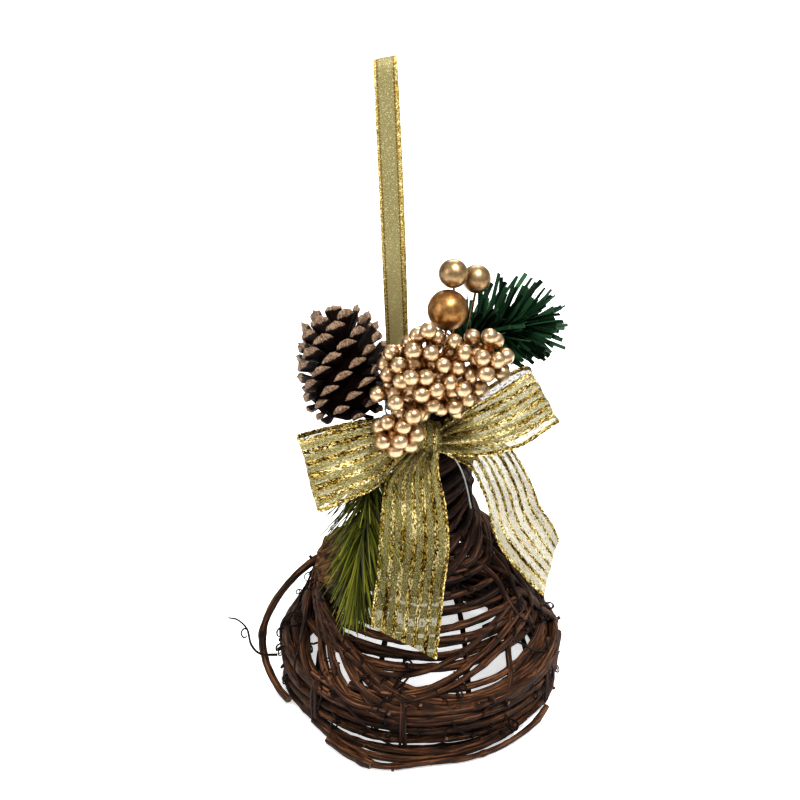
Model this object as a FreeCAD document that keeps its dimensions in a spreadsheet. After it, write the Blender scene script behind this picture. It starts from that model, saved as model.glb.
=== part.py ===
import FreeCAD, Part
import Sketcher
import math
import os

# A grapevine bell ornament that stands on its rim. Millimetres, +Z up, the front faces -Y.
# The origin is on the bell's axis, in the plane that the rim rests on.

V = FreeCAD.Vector
Z_AXIS = V(0, 0, 1)
doc = FreeCAD.newDocument("vine_bell")
sheet = doc.addObject("Spreadsheet::Sheet", "Sizes")

SIZES = (
    ("rim_radius", 59.4, "centre line of the outer rim vines"),
    ("rim_pitch", 5.8, "height between two outer rim vines"),
    ("rim_step", 4.4, "how far the inner rim vines stand in from the outer ones"),
    ("rim_vine", 2.1, "radius of a rim vine"),
    ("shoulder_radius", 50.0, "centre line of the lowest shoulder vine"),
    ("shoulder_height", 36.0, "height of the lowest shoulder vine"),
    ("shoulder_pitch", 5.2, "height between two outer shoulder vines"),
    ("shoulder_taper", 2.2, "radius lost from one outer shoulder vine to the next"),
    ("shoulder_step", 4.3, "how far the inner shoulder vines stand in"),
    ("shoulder_vine", 1.9, "radius of a shoulder vine"),
    ("crown_radius", 39.0, "centre line of the lowest crown vine"),
    ("crown_height", 56.8, "height of the lowest crown vine"),
    ("crown_pitch", 4.44, "height between two crown vines"),
    ("crown_taper", 3.6, "radius lost from one crown vine to the next"),
    ("crown_vine", 1.8, "radius of a crown vine"),
    ("neck_offset", 3.0, "how far the neck's axis stands to the right of the bell's"),
    ("neck_bottom", 62.0, "lower end of the bundled stems"),
    ("neck_top", 146.0, "upper end of the bundled stems"),
    ("stem_radius", 4.55, "radius of one bundled stem"),
    ("stem_circle", 9.2, "centre circle of the six outer stems"),
    ("wrap_radius", 15.9, "centre line of the vine wound round the stems"),
    ("wrap_vine", 1.6, "radius of the vine wound round the stems"),
    ("wrap_start", 86.0, "height of the lowest turn"),
    ("wrap_pitch", 3.44, "height from turn to turn"),
    ("wrap_lean", 10.0, "lean of a turn in degrees"),
    ("rib_vine", 1.2, "radius of a rib inside the wall"),
    ("lashing_wire", 0.6, "radius of the twine that ties the rim vines"),
    ("curl_vine", 0.5, "radius of a curly tendril"),
    ("stray_vine", 1.6, "radius of the loose vine on the left"),
    ("stick_vine", 1.8, "radius of the cut stick"),
    ("low_vine", 1.2, "radius of the loose vine at the foot"),
    ("hanger_width", 9.0, "width of the hanging ribbon"),
    ("hanger_hinge", 151.0, "height at which the hanging ribbon bends"),
    ("hanger_top", 275.6, "top of the hanging loop"),
    ("hanger_gap", 8.0, "distance between the two plies of the loop"),
    ("ribbon_thick", 0.4, "thickness of the ribbon solids"),
    ("bow_width", 31.0, "width of the bow ribbon"),
    ("wire_radius", 0.45, "radius of the tie wires"),
    ("pick_wire", 0.6, "radius of the stems of balls and sprigs"),
    ("berry_radius", 3.4, "radius of a berry bead"),
    ("berry_wire", 0.35, "radius of a berry's own wire"),
    ("ball_large_radius", 8.0, "radius of the large ball"),
    ("ball_small_radius", 5.7, "radius of the small balls"),
    ("cone_radius", 18.0, "greatest radius of the pinecone"),
    ("cone_height", 46.0, "height of the pinecone"),
    ("cone_core", 7.0, "radius of the pinecone's core"),
    ("cone_lean", 25.0, "degrees by which the pinecone leans back"),
    ("pod_radius", 14.0, "radius of the dried pod's face"),
    ("pod_depth", 5.0, "thickness of the dried pod"),
    ("pod_hole", 1.5, "radius of a seed hole"),
    ("pod_hole_circle", 8.2, "centre circle of the seed holes"),
    ("pod_hole_depth", 3.0, "depth of a seed hole"),
    ("curl_radius", 2.6, "centre line of a curly tendril"),
    ("curl_sweep", 280.0, "degrees that a curly tendril turns through"),
    ("knot_width", 14.4, "width of the bow's knot"),
    ("knot_height", 13.2, "height of the bow's knot"),
    ("knot_depth", 10.0, "depth of the bow's knot, front to back"),
    ("knot_round", 2.4, "rounding of the bow's knot"),
    ("tie_knot_depth", 3.2, "depth of the knot under the hanging ribbon"),
    ("scale_root", 2.4, "width of a pinecone scale at its root"),
    ("scale_tip", 7.2, "width of a pinecone scale at its tip"),
    ("scale_root_thick", 1.0, "thickness of a pinecone scale at its root"),
    ("scale_tip_thick", 2.0, "thickness of a pinecone scale at its tip"),
)
for row, (alias, value, meaning) in enumerate(SIZES, start=1):
    sheet.set(f"A{row}", meaning)
    sheet.set(f"B{row}", str(value))
    sheet.setAlias(f"B{row}", alias)
doc.recompute()
nodes = []


def size(alias):
    return float(sheet.get(alias))


def keep(item, label):
    item.Label = label
    nodes.append(item)
    return item


def solid(label, shape):
    """A free-form piece: Part's own functions set its shape."""
    item = doc.addObject("Part::Feature", label)
    item.Shape = shape
    return item


def group(label, members):
    """Several separate solids that share one node."""
    item = doc.addObject("Part::Compound", label + "_set")
    item.Links = members
    return keep(item, label)


def torus(name, radius, tube, height, lean=0.0, towards=0.0, offset="0"):
    """A ring about +Z. It leans by some degrees, with its high side at the angle towards."""
    item = doc.addObject("Part::Torus", name)
    angle = math.radians(towards)
    turn = FreeCAD.Rotation(V(math.sin(angle), -math.cos(angle), 0), lean)
    item.Placement = FreeCAD.Placement(V(0, 0, 0), turn)
    item.setExpression("Radius1", radius)
    item.setExpression("Radius2", tube)
    item.setExpression("Placement.Base.x", offset)
    item.setExpression("Placement.Base.z", height)
    return item


def rounded_path(points):
    """Straight runs joined by tangent arcs as large as the runs allow."""
    points = [V(*point) for point in points]
    edges = []
    start = points[0]
    for before, corner, after in zip(points, points[1:], points[2:]):
        run_in = corner - before
        run_out = after - corner
        half_turn = run_in.getAngle(run_out) / 2
        cut = 0.45 * min(run_in.Length, run_out.Length)
        radius = cut / math.tan(half_turn)
        way_in = V(run_in).normalize()
        way_out = V(run_out).normalize()
        inwards = (way_out - way_in).normalize()
        first = corner - way_in * cut
        last = corner + way_out * cut
        middle = corner + inwards * (radius / math.cos(half_turn) - radius)
        edges.append(Part.LineSegment(start, first).toShape())
        edges.append(Part.Arc(first, middle, last).toShape())
        start = last
    edges.append(Part.LineSegment(start, points[-1]).toShape())
    return Part.Wire(edges)


def outward(shape):
    """The same solid with its faces turned outwards."""
    if shape.Volume < 0:
        shape.reverse()
    return shape


def rod(points, radius):
    """A round vine or wire along a path of points."""
    path = rounded_path(points)
    direction = V(*points[1]) - V(*points[0])
    section = Part.Wire([Part.Circle(V(*points[0]), direction, radius).toShape()])
    return outward(path.makePipeShell([section], True, True))


def straight(first, last, radius):
    first = V(*first)
    run = V(*last) - first
    return Part.makeCylinder(radius, run.Length, first, run)


def triangle(first, second, third):
    return Part.Face(Part.makePolygon([first, second, third, first]))


def ribbon(stations, width, thickness):
    """A thin strip through stations: centre, share of the full width, direction across."""
    centres = [V(*station[0]) for station in stations]
    sections = []
    for index, (centre, share, across) in enumerate(stations):
        before = centres[max(index - 1, 0)]
        after = centres[min(index + 1, len(centres) - 1)]
        across = V(*across).normalize()
        outwards = across.cross(after - before).normalize()
        half = across * (width * share / 2)
        skin = outwards * (thickness / 2)
        middle = centres[index]
        inside = (middle - half - skin, middle + half - skin)
        outside = (middle + half + skin, middle - half + skin)
        sections.append(inside + outside)
    faces = []
    for corners in (sections[0], sections[-1][::-1]):
        faces.append(triangle(corners[0], corners[1], corners[2]))
        faces.append(triangle(corners[0], corners[2], corners[3]))
    for near, far in zip(sections, sections[1:]):
        for side in range(4):
            following = (side + 1) % 4
            # Both skins of a twisted stretch are split along the same diagonal.
            if side == 2:
                faces.append(triangle(near[side], far[side], near[following]))
                faces.append(triangle(far[side], far[following], near[following]))
            else:
                faces.append(triangle(near[side], far[side], far[following]))
                faces.append(triangle(near[side], far[following], near[following]))
    shell = Part.makeShell(faces)
    shell.sewShape()
    return outward(Part.makeSolid(shell))


# ---- bell wall: long vines wound into rings -------------------------------------------------
RIM_LAYERS = 4
for layer in range(RIM_LAYERS):
    for inner in range(2):
        number = 2 * layer + inner + 1
        keep(torus(
            f"rim_vine_{number}",
            f"Sizes.rim_radius - {inner} * Sizes.rim_step",
            "Sizes.rim_vine",
            f"Sizes.rim_vine + ({layer} + {inner} / 2) * Sizes.rim_pitch",
            0.25 * inner,
            50 * number,
        ), f"rim_vine_{number}")

SHOULDER_LAYERS = 4
shoulder_number = 0
for layer in range(SHOULDER_LAYERS):
    for inner in range(2 if layer < SHOULDER_LAYERS - 1 else 1):
        shoulder_number += 1
        keep(torus(
            f"shoulder_vine_{shoulder_number}",
            f"Sizes.shoulder_radius - {layer} * Sizes.shoulder_taper - {inner} * Sizes.shoulder_step",
            "Sizes.shoulder_vine",
            f"Sizes.shoulder_height + ({layer} + {inner} / 2) * Sizes.shoulder_pitch",
            0.3 * inner,
            70 * shoulder_number,
            f"{0.12 * layer} * Sizes.neck_offset",
        ), f"shoulder_vine_{shoulder_number}")

CROWN_VINES = 6
for level in range(CROWN_VINES):
    keep(torus(
        f"crown_vine_{level + 1}",
        f"Sizes.crown_radius - {level} * Sizes.crown_taper",
        "Sizes.crown_vine",
        f"Sizes.crown_height + {level} * Sizes.crown_pitch",
        0.5,
        80 * level,
        "0.4 * Sizes.neck_offset",
    ), f"crown_vine_{level + 1}")

# ---- neck: seven bundled stems, and the vine wound tightly round them -----------------------
NECK_STEMS = 6
stems = []
for index in range(NECK_STEMS + 1):
    stem = doc.addObject("Part::Cylinder", f"neck_stem_{index}")
    stem.setExpression("Radius", "Sizes.stem_radius")
    stem.setExpression("Height", "Sizes.neck_top - Sizes.neck_bottom")
    reach = 0 if index == NECK_STEMS else 1
    turn = 360 / NECK_STEMS * index
    circle = f"{reach} * Sizes.stem_circle"
    stem.setExpression("Placement.Base.x", f"Sizes.neck_offset + {circle} * cos({turn} deg)")
    stem.setExpression("Placement.Base.y", f"{circle} * sin({turn} deg)")
    stem.setExpression("Placement.Base.z", "Sizes.neck_bottom")
    stems.append(stem)
group("neck_core", stems)

WRAP_TURNS = 17
WRAP_TOWARDS = 20
group("neck_wrap", [
    torus(
        f"wrap_turn_{index}",
        "Sizes.wrap_radius",
        "Sizes.wrap_vine",
        f"Sizes.wrap_start + {index} * Sizes.wrap_pitch",
        size("wrap_lean"),
        WRAP_TOWARDS,
        "Sizes.neck_offset",
    )
    for index in range(WRAP_TURNS)
])

# ---- ribs: thin stems that run from the neck down inside the wall ---------------------------
RIBS = 8
RIB_PATH = ((18.0, 0, 76.0), (35.2, 0, 54.4), (40.2, 0, 38.0), (49.8, 0, 20.6), (49.8, 0, 1.5))
rib_shape = rod(RIB_PATH, size("rib_vine"))
ribs = []
for index in range(RIBS):
    rib = solid(f"rib_{index}", rib_shape)
    turn = FreeCAD.Rotation(Z_AXIS, 22.5 + 360 / RIBS * index)
    rib.Placement = FreeCAD.Placement(V(0.4 * size("neck_offset"), 0, 0), turn)
    ribs.append(rib)
group("frame_ribs", ribs)

# ---- lashings: twine staples over the rim bundle --------------------------------------------
LASHING_PATH = ((62.5, 0, 6.0), (62.5, 0, 22.6), (56.5, 0, 28.2), (51.4, 0, 24.0), (51.4, 0, 6.0))
LASHING_ANGLES = (-97, -30, 48, 112, 176, 224)
lashing_shape = rod(LASHING_PATH, size("lashing_wire"))
lashings = []
for index, angle in enumerate(LASHING_ANGLES):
    lashing = solid(f"lashing_{index}", lashing_shape)
    lashing.Placement = FreeCAD.Placement(V(0, 0, 0), FreeCAD.Rotation(Z_AXIS, angle))
    lashings.append(lashing)
group("rim_lashings", lashings)

# ---- loose vines ----------------------------------------------------------------------------
LOOSE_VINES = {
    "stray_vine_left": ("stray_vine", (
        (-47.8, 6, 53), (-57, 3, 43.5), (-67.3, 0, 31), (-71, -3, 20), (-68.5, -9, 9.5), (-63.0, -18, 3.2),
    )),
    "long_tendril": ("curl_vine", (
        (-63.4, -9.5, 14.2), (-70.8, -10, 15), (-75, -8, 18.5), (-77, -4, 24), (-82, -3, 28.6),
        (-85.5, -3, 29.6),
    )),
    "cut_stick": ("stick_vine", (
        (-39.2, -53.5, 1.8), (-30.8, -61.6, 1.8), (-21.5, -70.0, 1.8),
    )),
    "low_vine": ("low_vine", (
        (-17, -70.4, 1.3), (1, -66.6, 1.3), (20, -66.0, 1.3), (37, -53.5, 1.3), (47.5, -42.5, 1.3),
    )),
    "cross_vine": ("stray_vine", (
        (-5, -54.8, 28.6), (18, -53.0, 28.8), (37, -42.0, 29.6), (50, -22, 30.2), (54.2, 0, 30.2),
        (50.0, 21.0, 30.0),
    )),
}
for label, (radius, points) in LOOSE_VINES.items():
    keep(solid(label, rod(points, size(radius))), label)

# ---- curly tendrils: open rings that stand off the vines -------------------------------------
CURLS = (
    (-152, 65.0, 6), (-138, 65.2, 16), (-118, 64.8, 20), (-75, 64.8, 14), (-40, 65.0, 9), (-12, 65.4, 17),
    (20, 65.0, 8), (75, 65.0, 18), (130, 65.2, 10), (162, 65.0, 19),
    (-60, 54.8, 40), (-8, 53.8, 42), (35, 52.6, 45), (100, 53.6, 42), (150, 51.0, 48), (-128, 52.2, 46),
)
curls = []
for index, (angle, radius, height) in enumerate(CURLS):
    curl = doc.addObject("Part::Torus", f"curl_{index}")
    curl.setExpression("Radius1", "Sizes.curl_radius")
    curl.setExpression("Radius2", "Sizes.curl_vine")
    curl.setExpression("Angle3", "Sizes.curl_sweep")
    turn = math.radians(angle)
    upright = FreeCAD.Rotation(Z_AXIS, angle + 25).multiply(FreeCAD.Rotation(V(0, 1, 0), 90))
    place = V(radius * math.cos(turn), radius * math.sin(turn), height)
    curl.Placement = FreeCAD.Placement(place, upright)
    curls.append(curl)
group("curly_tendrils", curls)

# ---- hanging ribbon -------------------------------------------------------------------------
HANGER_FOOT_X = -9.8
HANGER_TOP_X = -14.6
hinge_z = size("hanger_hinge")
top_z = size("hanger_top")
across_hanger = (top_z - hinge_z, 0, HANGER_FOOT_X - HANGER_TOP_X)


def hanger_station(rise, side):
    x = HANGER_FOOT_X + (HANGER_TOP_X - HANGER_FOOT_X) * rise
    return ((x, side * size("hanger_gap") / 2, hinge_z + (top_z - hinge_z) * rise), 1, across_hanger)


# share of the rise, share of half the gap
FRONT_PLY = ((0.006, -0.13), (0.16, -0.55), (0.4, -0.86), (0.7, -1.0), (0.88, -0.98), (0.965, -0.7))
loop_stations = [hanger_station(rise, side) for rise, side in FRONT_PLY]
loop_stations.append(hanger_station(0.998, 0))
loop_stations += [hanger_station(rise, -side) for rise, side in reversed(FRONT_PLY)]
keep(solid("hanger_loop", ribbon(loop_stations, size("hanger_width"), size("ribbon_thick"))), "hanger_loop")

KNOT_EDGE_ROUND = 0.6
KNOT_CLEARANCE = 0.1
hanger_knot = doc.addObject("Part::Box", "hanger_knot_block")
hanger_knot.setExpression("Length", "Sizes.hanger_width")
hanger_knot.setExpression("Width", "Sizes.tie_knot_depth")
hanger_knot.setExpression("Height", "Sizes.hanger_hinge - Sizes.neck_top - 2.1")
hanger_knot.Placement.Base = V(
    HANGER_FOOT_X - size("hanger_width") / 2,
    -size("tie_knot_depth") / 2,
    size("neck_top") + KNOT_CLEARANCE,
)
knot_edges = [(edge, KNOT_EDGE_ROUND, KNOT_EDGE_ROUND) for edge in (2, 4, 6, 8)]
doc.recompute()
rounded_knot = doc.addObject("Part::Fillet", "hanger_knot_rounded")
rounded_knot.Base = hanger_knot
rounded_knot.Edges = knot_edges
keep(rounded_knot, "hanger_knot")
hanger_tie = torus(
    "hanger_tie_ring", "Sizes.hanger_width / 2 + 0.75", "Sizes.wire_radius", "Sizes.neck_top + 1.2",
)
hanger_tie.setExpression("Placement.Base.x", str(HANGER_FOOT_X))
keep(hanger_tie, "hanger_tie")

# ---- bow: two loops and two tails of one wide ribbon, pinched at the knot --------------------
BOW_PIECES = {
    "bow_loop_left": (
        ((-6.9, -27.4, 131), 0.34, (-0.1, 0, 1)),
        ((-17.5, -35, 128), 0.82, (-0.14, 0, 0.99)),
        ((-31, -43, 126.6), 0.98, (-0.18, -0.03, 0.98)),
        ((-42, -49.5, 125.6), 1.06, (-0.21, -0.06, 0.975)),
        ((-44.6, -47.2, 125.6), 1.06, (-0.21, -0.06, 0.975)),
        ((-42, -43.5, 125.8), 1.05, (-0.21, -0.05, 0.975)),
        ((-30, -36.5, 127), 0.95, (-0.18, -0.03, 0.98)),
        ((-17.5, -30, 128.6), 0.78, (-0.14, 0, 0.99)),
        ((-6.9, -25.4, 131), 0.32, (-0.1, 0, 1)),
    ),
    "bow_loop_right": (
        ((9.3, -27.4, 131), 0.34, (0.2, 0, 1)),
        ((21, -34, 137), 0.7, (-0.32, -0.1, 0.95)),
        ((34, -36.4, 143.6), 0.86, (-0.42, -0.2, 0.9)),
        ((45.2, -32.6, 149.6), 0.92, (-0.44, -0.28, 0.86)),
        ((47.6, -29.6, 150.2), 0.92, (-0.44, -0.28, 0.86)),
        ((45, -26.6, 150.2), 0.92, (-0.44, -0.28, 0.86)),
        ((34, -28, 145), 0.84, (-0.42, -0.2, 0.9)),
        ((21, -27.6, 138), 0.66, (-0.32, -0.1, 0.95)),
        ((9.3, -25.4, 131.4), 0.32, (0.2, 0, 1)),
    ),
    "bow_tail_center": (
        ((1, -28.5, 123.6), 0.36, (1, 0, 0.05)),
        ((-4.5, -31.5, 116.5), 0.64, (1, 0, 0.1)),
        ((-3.4, -34, 103), 0.8, (1, 0, 0)),
        ((-3.4, -37.5, 86), 0.88, (1, 0, 0)),
        ((-5.2, -43.5, 69), 0.86, (1, -0.05, -0.1)),
        ((-7.6, -52, 50.2), 0.94, (26.3, -4, -12.8)),
    ),
    "bow_tail_right": (
        ((9.1, -23.6, 128.4), 0.26, (3, 0, 9)),
        ((17.5, -23.2, 126.4), 0.42, (8, 0, 11)),
        ((27, -23.4, 121.5), 0.54, (13.4, 0, 10)),
        ((34.9, -24, 106), 0.62, (15.8, 0, 10.5)),
        ((40.4, -24.6, 89.3), 0.72, (17.2, 0, 13.4)),
        ((54.2, -24, 68.6), 0.88, (4.7, 0, 26.4)),
    ),
}
for label, stations in BOW_PIECES.items():
    keep(solid(label, ribbon(stations, size("bow_width"), size("ribbon_thick"))), label)

knot_body = doc.addObject("PartDesign::Body", "bow_knot_body")
knot_plane = [plane for plane in knot_body.Origin.OriginFeatures if plane.Role == "XZ_Plane"][0]
knot_sketch = knot_body.newObject("Sketcher::SketchObject", "bow_knot_outline")
knot_sketch.AttachmentSupport = [(knot_plane, "")]
knot_sketch.MapMode = "FlatFace"
half_width = size("knot_width") / 2
half_height = size("knot_height") / 2
corners = (
    V(-half_width, -half_height, 0), V(half_width, -half_height, 0),
    V(half_width, half_height, 0), V(-half_width, half_height, 0),
)
for first, last in zip(corners, corners[1:] + corners[:1]):
    knot_sketch.addGeometry(Part.LineSegment(first, last), False)
knot_pad = knot_body.newObject("PartDesign::Pad", "bow_knot_pad")
knot_pad.Profile = knot_sketch
knot_pad.setExpression("Length", "Sizes.knot_depth")
knot_pad.Midplane = True
doc.recompute()
knot_round = knot_body.newObject("PartDesign::Fillet", "bow_knot_round")
knot_round.Base = (knot_pad, [f"Edge{number}" for number in range(1, len(knot_pad.Shape.Edges) + 1)])
knot_round.setExpression("Radius", "Sizes.knot_round")
knot_body.Tip = knot_round
knot_body.Placement.Base = V(1, -24.4, 130.8)
keep(knot_body, "bow_knot")

WRAP_OUTSIDE = "Sizes.wrap_radius + Sizes.wrap_vine + Sizes.wire_radius"
keep(torus(
    "bow_wire_ring", WRAP_OUTSIDE + " + 0.25", "Sizes.wire_radius", "131", 0, 0, "Sizes.neck_offset",
), "bow_wire")
keep(torus(
    "pick_wire_ring", WRAP_OUTSIDE + " + 0.45", "Sizes.wire_radius", "140.4",
    size("wrap_lean"), WRAP_TOWARDS, "Sizes.neck_offset",
), "pick_wire")
keep(solid("neck_thread", rod((
    (9, -19.4, 124), (14.6, -16.2, 115), (19.2, -11, 100), (21.6, -6, 83),
), size("berry_wire"))), "neck_thread")

# ---- balls on wire stems ---------------------------------------------------------------------
BALLS = {
    "ball_large": ("ball_large_radius", (9.6, -18, 181.7)),
    "ball_small_left": ("ball_small_radius", (11.6, -13.4, 195.0)),
    "ball_small_right": ("ball_small_radius", (21.0, -7.4, 190.6)),
}
for label, (radius, place) in BALLS.items():
    ball = doc.addObject("Part::Sphere", label + "_bead")
    ball.setExpression("Radius", f"Sizes.{radius}")
    ball.Placement.Base = V(*place)
    keep(ball, label)
BALL_STEMS = (
    ((6.0, -8.5, 146.3), (7.6, -13.5, 160), (9.2, -17.0, 173.6)),
    ((10.5, -6, 146.3), (12.8, -5.2, 172), (11.9, -11.2, 189.6)),
    ((12.5, -2, 146.3), (18.2, -3.4, 168), (20.7, -6.6, 184.7)),
)
group("ball_stems", [
    solid(f"ball_stem_{index}", rod(points, size("pick_wire"))) for index, points in enumerate(BALL_STEMS)
])

# ---- pinecone: a turned core, scales in spiral rows, and its wire ----------------------------
core_body = doc.addObject("PartDesign::Body", "pinecone_core_body")
core_plane = [plane for plane in core_body.Origin.OriginFeatures if plane.Role == "XZ_Plane"][0]
core_sketch = core_body.newObject("Sketcher::SketchObject", "pinecone_core_outline")
core_sketch.AttachmentSupport = [(core_plane, "")]
core_sketch.MapMode = "FlatFace"
core_r = size("cone_core")
core_h = size("cone_height") / 2 - 4
CORE_TIP_RADIUS = 1.2
bottom = V(0, -core_h, 0)
bottom_edge = V(0.5 * core_r, -core_h, 0)
bulge = V(core_r, -0.2 * core_h, 0)
top_edge = V(CORE_TIP_RADIUS, core_h, 0)
top = V(0, core_h, 0)
core_sketch.addGeometry(Part.LineSegment(bottom, bottom_edge), False)
core_sketch.addGeometry(Part.Arc(bottom_edge, bulge, top_edge), False)
core_sketch.addGeometry(Part.LineSegment(top_edge, top), False)
core_sketch.addGeometry(Part.LineSegment(top, bottom), False)
core_turned = core_body.newObject("PartDesign::Revolution", "pinecone_core_turned")
core_turned.Profile = core_sketch
core_turned.ReferenceAxis = (core_sketch, ["V_Axis"])
core_turned.Angle = 360
core_body.Tip = core_turned
CONE_CENTRE = V(-31.6, -14.6, 157.4)
cone_turn = FreeCAD.Rotation(V(1, 0, 0), -size("cone_lean"))
core_body.Placement = FreeCAD.Placement(CONE_CENTRE, cone_turn)
keep(core_body, "pinecone_core")

SCALE_ROWS = 7
SCALES_PER_ROW = 8
SCALES_AT_TOP = 5
LOWEST_RISE = -20
RISE_GAIN = 75
SCALE_ROOT_GAP = 2.4
WEDGE_LIMITS = (
    ("Xmin", "Xmax", "scale_root"), ("X2min", "X2max", "scale_tip"),
    ("Zmin", "Zmax", "scale_root_thick"), ("Z2min", "Z2max", "scale_tip_thick"),
)
scales = []
for row in range(SCALE_ROWS):
    share = (row + 0.5) / SCALE_ROWS
    height = (share - 0.5) * (size("cone_height") - 8)
    outer = size("cone_radius") * math.sin(math.pi * (0.2 + 0.62 * share)) ** 0.8
    inner = core_r * 0.72
    rise = FreeCAD.Rotation(V(1, 0, 0), LOWEST_RISE + RISE_GAIN * share)
    per_row = SCALES_PER_ROW if row < SCALE_ROWS - 1 else SCALES_AT_TOP
    for index in range(per_row):
        scale = doc.addObject("Part::Wedge", f"scale_{row}_{index}")
        for lower, upper, alias in WEDGE_LIMITS:
            scale.setExpression(lower, f"-Sizes.{alias} / 2")
            scale.setExpression(upper, f"Sizes.{alias} / 2")
        scale.Ymin = 0
        scale.Ymax = outer - inner
        around = FreeCAD.Rotation(Z_AXIS, 360 / per_row * (index + 0.5 * (row % 2)))
        root = cone_turn.multVec(around.multVec(V(0, inner + SCALE_ROOT_GAP, height)))
        turn = cone_turn.multiply(around).multiply(rise)
        scale.Placement = FreeCAD.Placement(CONE_CENTRE + root, turn)
        scales.append(scale)
group("pinecone_scales", scales)
keep(solid("pinecone_wire", rod((
    (-29.6, -24.0, 135.0), (-24.0, -23.5, 128.5), (-15.8, -14.0, 127.5),
), size("pick_wire"))), "pinecone_wire")

# ---- berry clusters: beads on their own wires round a hub ------------------------------------
# Each cluster: middle, radii, number of beads, the way it faces, and where its stem meets the neck.
GOLDEN_TURN = math.pi * (3 - math.sqrt(5))
HUB_RADIUS = 2.3
BUNDLE_RADIUS = 1.0
BUNDLE_SAG = V(0, 2.0, 0)
WIRE_GAP = 0.05
BEAD_GAP = 0.12
CLUSTER_SPAN = 1.25
CLUSTERS = {
    "main": (
        V(-1, -30, 160), V(13.6, 13.5, 16.8), 38, V(-0.05, -0.95, 0.25), V(-1.5, -19.0, 146.5),
    ),
    "right": (
        V(23.4, -29, 166), V(8.2, 8.6, 10.6), 20, V(0.35, -0.85, 0.3), V(5.5, -18.6, 146.5),
    ),
    "lower": (
        V(-9.6, -38.5, 140.5), V(7.6, 7.2, 8.6), 16, V(-0.2, -0.9, -0.3), V(-5.0, -18.9, 146.8),
    ),
}
bead_radius = size("berry_radius")
taken = [(V(*place), size(radius)) for radius, place in BALLS.values()]


def inside_cone(point):
    local = cone_turn.inverted().multVec(point - CONE_CENTRE)
    reach = math.hypot(local.x, local.y)
    return reach < size("cone_radius") + bead_radius and abs(local.z) < size("cone_height") / 2


def has_room(point):
    if inside_cone(point):
        return False
    return all((point - near).Length > radius + bead_radius + BEAD_GAP for near, radius in taken)


def cluster_points(centre, radii, count, facing):
    """Points spread evenly over the front of an ellipsoid."""
    turn = FreeCAD.Rotation(Z_AXIS, facing.normalize())
    points = []
    for index in range(count):
        level = 1 - CLUSTER_SPAN * (index + 0.5) / count
        spread = math.sqrt(1 - level * level)
        angle = index * GOLDEN_TURN
        way = turn.multVec(V(spread * math.cos(angle), spread * math.sin(angle), level))
        points.append(centre + V(way.x * radii.x, way.y * radii.y, way.z * radii.z))
    return points


for cluster, (centre, radii, count, facing, root) in CLUSTERS.items():
    beads = []
    way = (root - centre).normalize()
    first = centre + way * (HUB_RADIUS + BUNDLE_RADIUS)
    bend = (centre + root) / 2 + BUNDLE_SAG
    wires = [Part.makeSphere(HUB_RADIUS, centre), rod((first, bend, root), BUNDLE_RADIUS)]
    for index, point in enumerate(cluster_points(centre, radii, count, facing)):
        if not has_room(point):
            continue
        taken.append((point, bead_radius))
        bead = doc.addObject("Part::Sphere", f"berry_{cluster}_{index}")
        bead.setExpression("Radius", "Sizes.berry_radius")
        bead.Placement.Base = point
        beads.append(bead)
        way = (point - centre).normalize()
        foot = centre + way * (HUB_RADIUS + WIRE_GAP)
        tip = point - way * (bead_radius + WIRE_GAP)
        wires.append(straight(foot, tip, size("berry_wire")))
    group(f"berries_{cluster}", beads)
    keep(solid(f"berry_stem_{cluster}", Part.makeCompound(wires)), f"berry_stem_{cluster}")


# ---- sprigs: a wire stem inside a brush of needles -------------------------------------------
STEM_CLEARANCE = 0.15


def sprig(name, stem_points, centre, radii, direction):
    stem = rod(stem_points, size("pick_wire"))
    keep(solid(f"{name}_stem", stem), f"{name}_stem")
    brush = doc.addObject("Part::Ellipsoid", f"{name}_brush")
    brush.Radius2, brush.Radius3, brush.Radius1 = radii
    brush.Placement = FreeCAD.Placement(V(*centre), FreeCAD.Rotation(Z_AXIS, V(*direction)))
    channel = solid(f"{name}_channel", rod(stem_points, size("pick_wire") + STEM_CLEARANCE))
    needles = doc.addObject("Part::Cut", f"{name}_needle_brush")
    needles.Base = brush
    needles.Tool = channel
    keep(needles, f"{name}_needles")


sprig(
    "sprig_upper",
    ((15.2, 4.2, 146.3), (15.8, 3.6, 156.0), (18.5, 2.9, 161.0), (57.5, -1.5, 172.0)),
    (38, 0.5, 169.5), (14, 12, 18.5), (0.97, -0.06, 0.24),
)
sprig(
    "sprig_lower",
    ((-16.4, -12.2, 124), (-22.6, -20, 110), (-25.5, -31.5, 86), (-28.4, -39.0, 56)),
    (-27.2, -35.2, 77.5), (11.0, 6.0, 24.5), (0.1, 0.27, 0.96),
)

# ---- dried pod: a flat seed head with holes ---------------------------------------------------
POD_SEEDS = 7
pod_body = doc.addObject("PartDesign::Body", "dried_pod_body")
pod_plane = [plane for plane in pod_body.Origin.OriginFeatures if plane.Role == "XY_Plane"][0]
pod_sketch = pod_body.newObject("Sketcher::SketchObject", "dried_pod_outline")
pod_sketch.AttachmentSupport = [(pod_plane, "")]
pod_sketch.MapMode = "FlatFace"
pod_sketch.addGeometry(Part.Circle(V(0, 0, 0), Z_AXIS, size("pod_radius")), False)
pod_rim = pod_sketch.addConstraint(Sketcher.Constraint("Radius", 0, size("pod_radius")))
pod_sketch.renameConstraint(pod_rim, "rim")
pod_sketch.setExpression("Constraints.rim", "Sizes.pod_radius")
pod_pad = pod_body.newObject("PartDesign::Pad", "dried_pod_disc")
pod_pad.Profile = pod_sketch
pod_pad.setExpression("Length", "Sizes.pod_depth")
doc.recompute()
hole_sketch = pod_body.newObject("Sketcher::SketchObject", "dried_pod_hole")
hole_sketch.AttachmentSupport = [(pod_plane, "")]
hole_sketch.MapMode = "FlatFace"
hole_centre = V(size("pod_hole_circle"), 0, 0)
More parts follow.
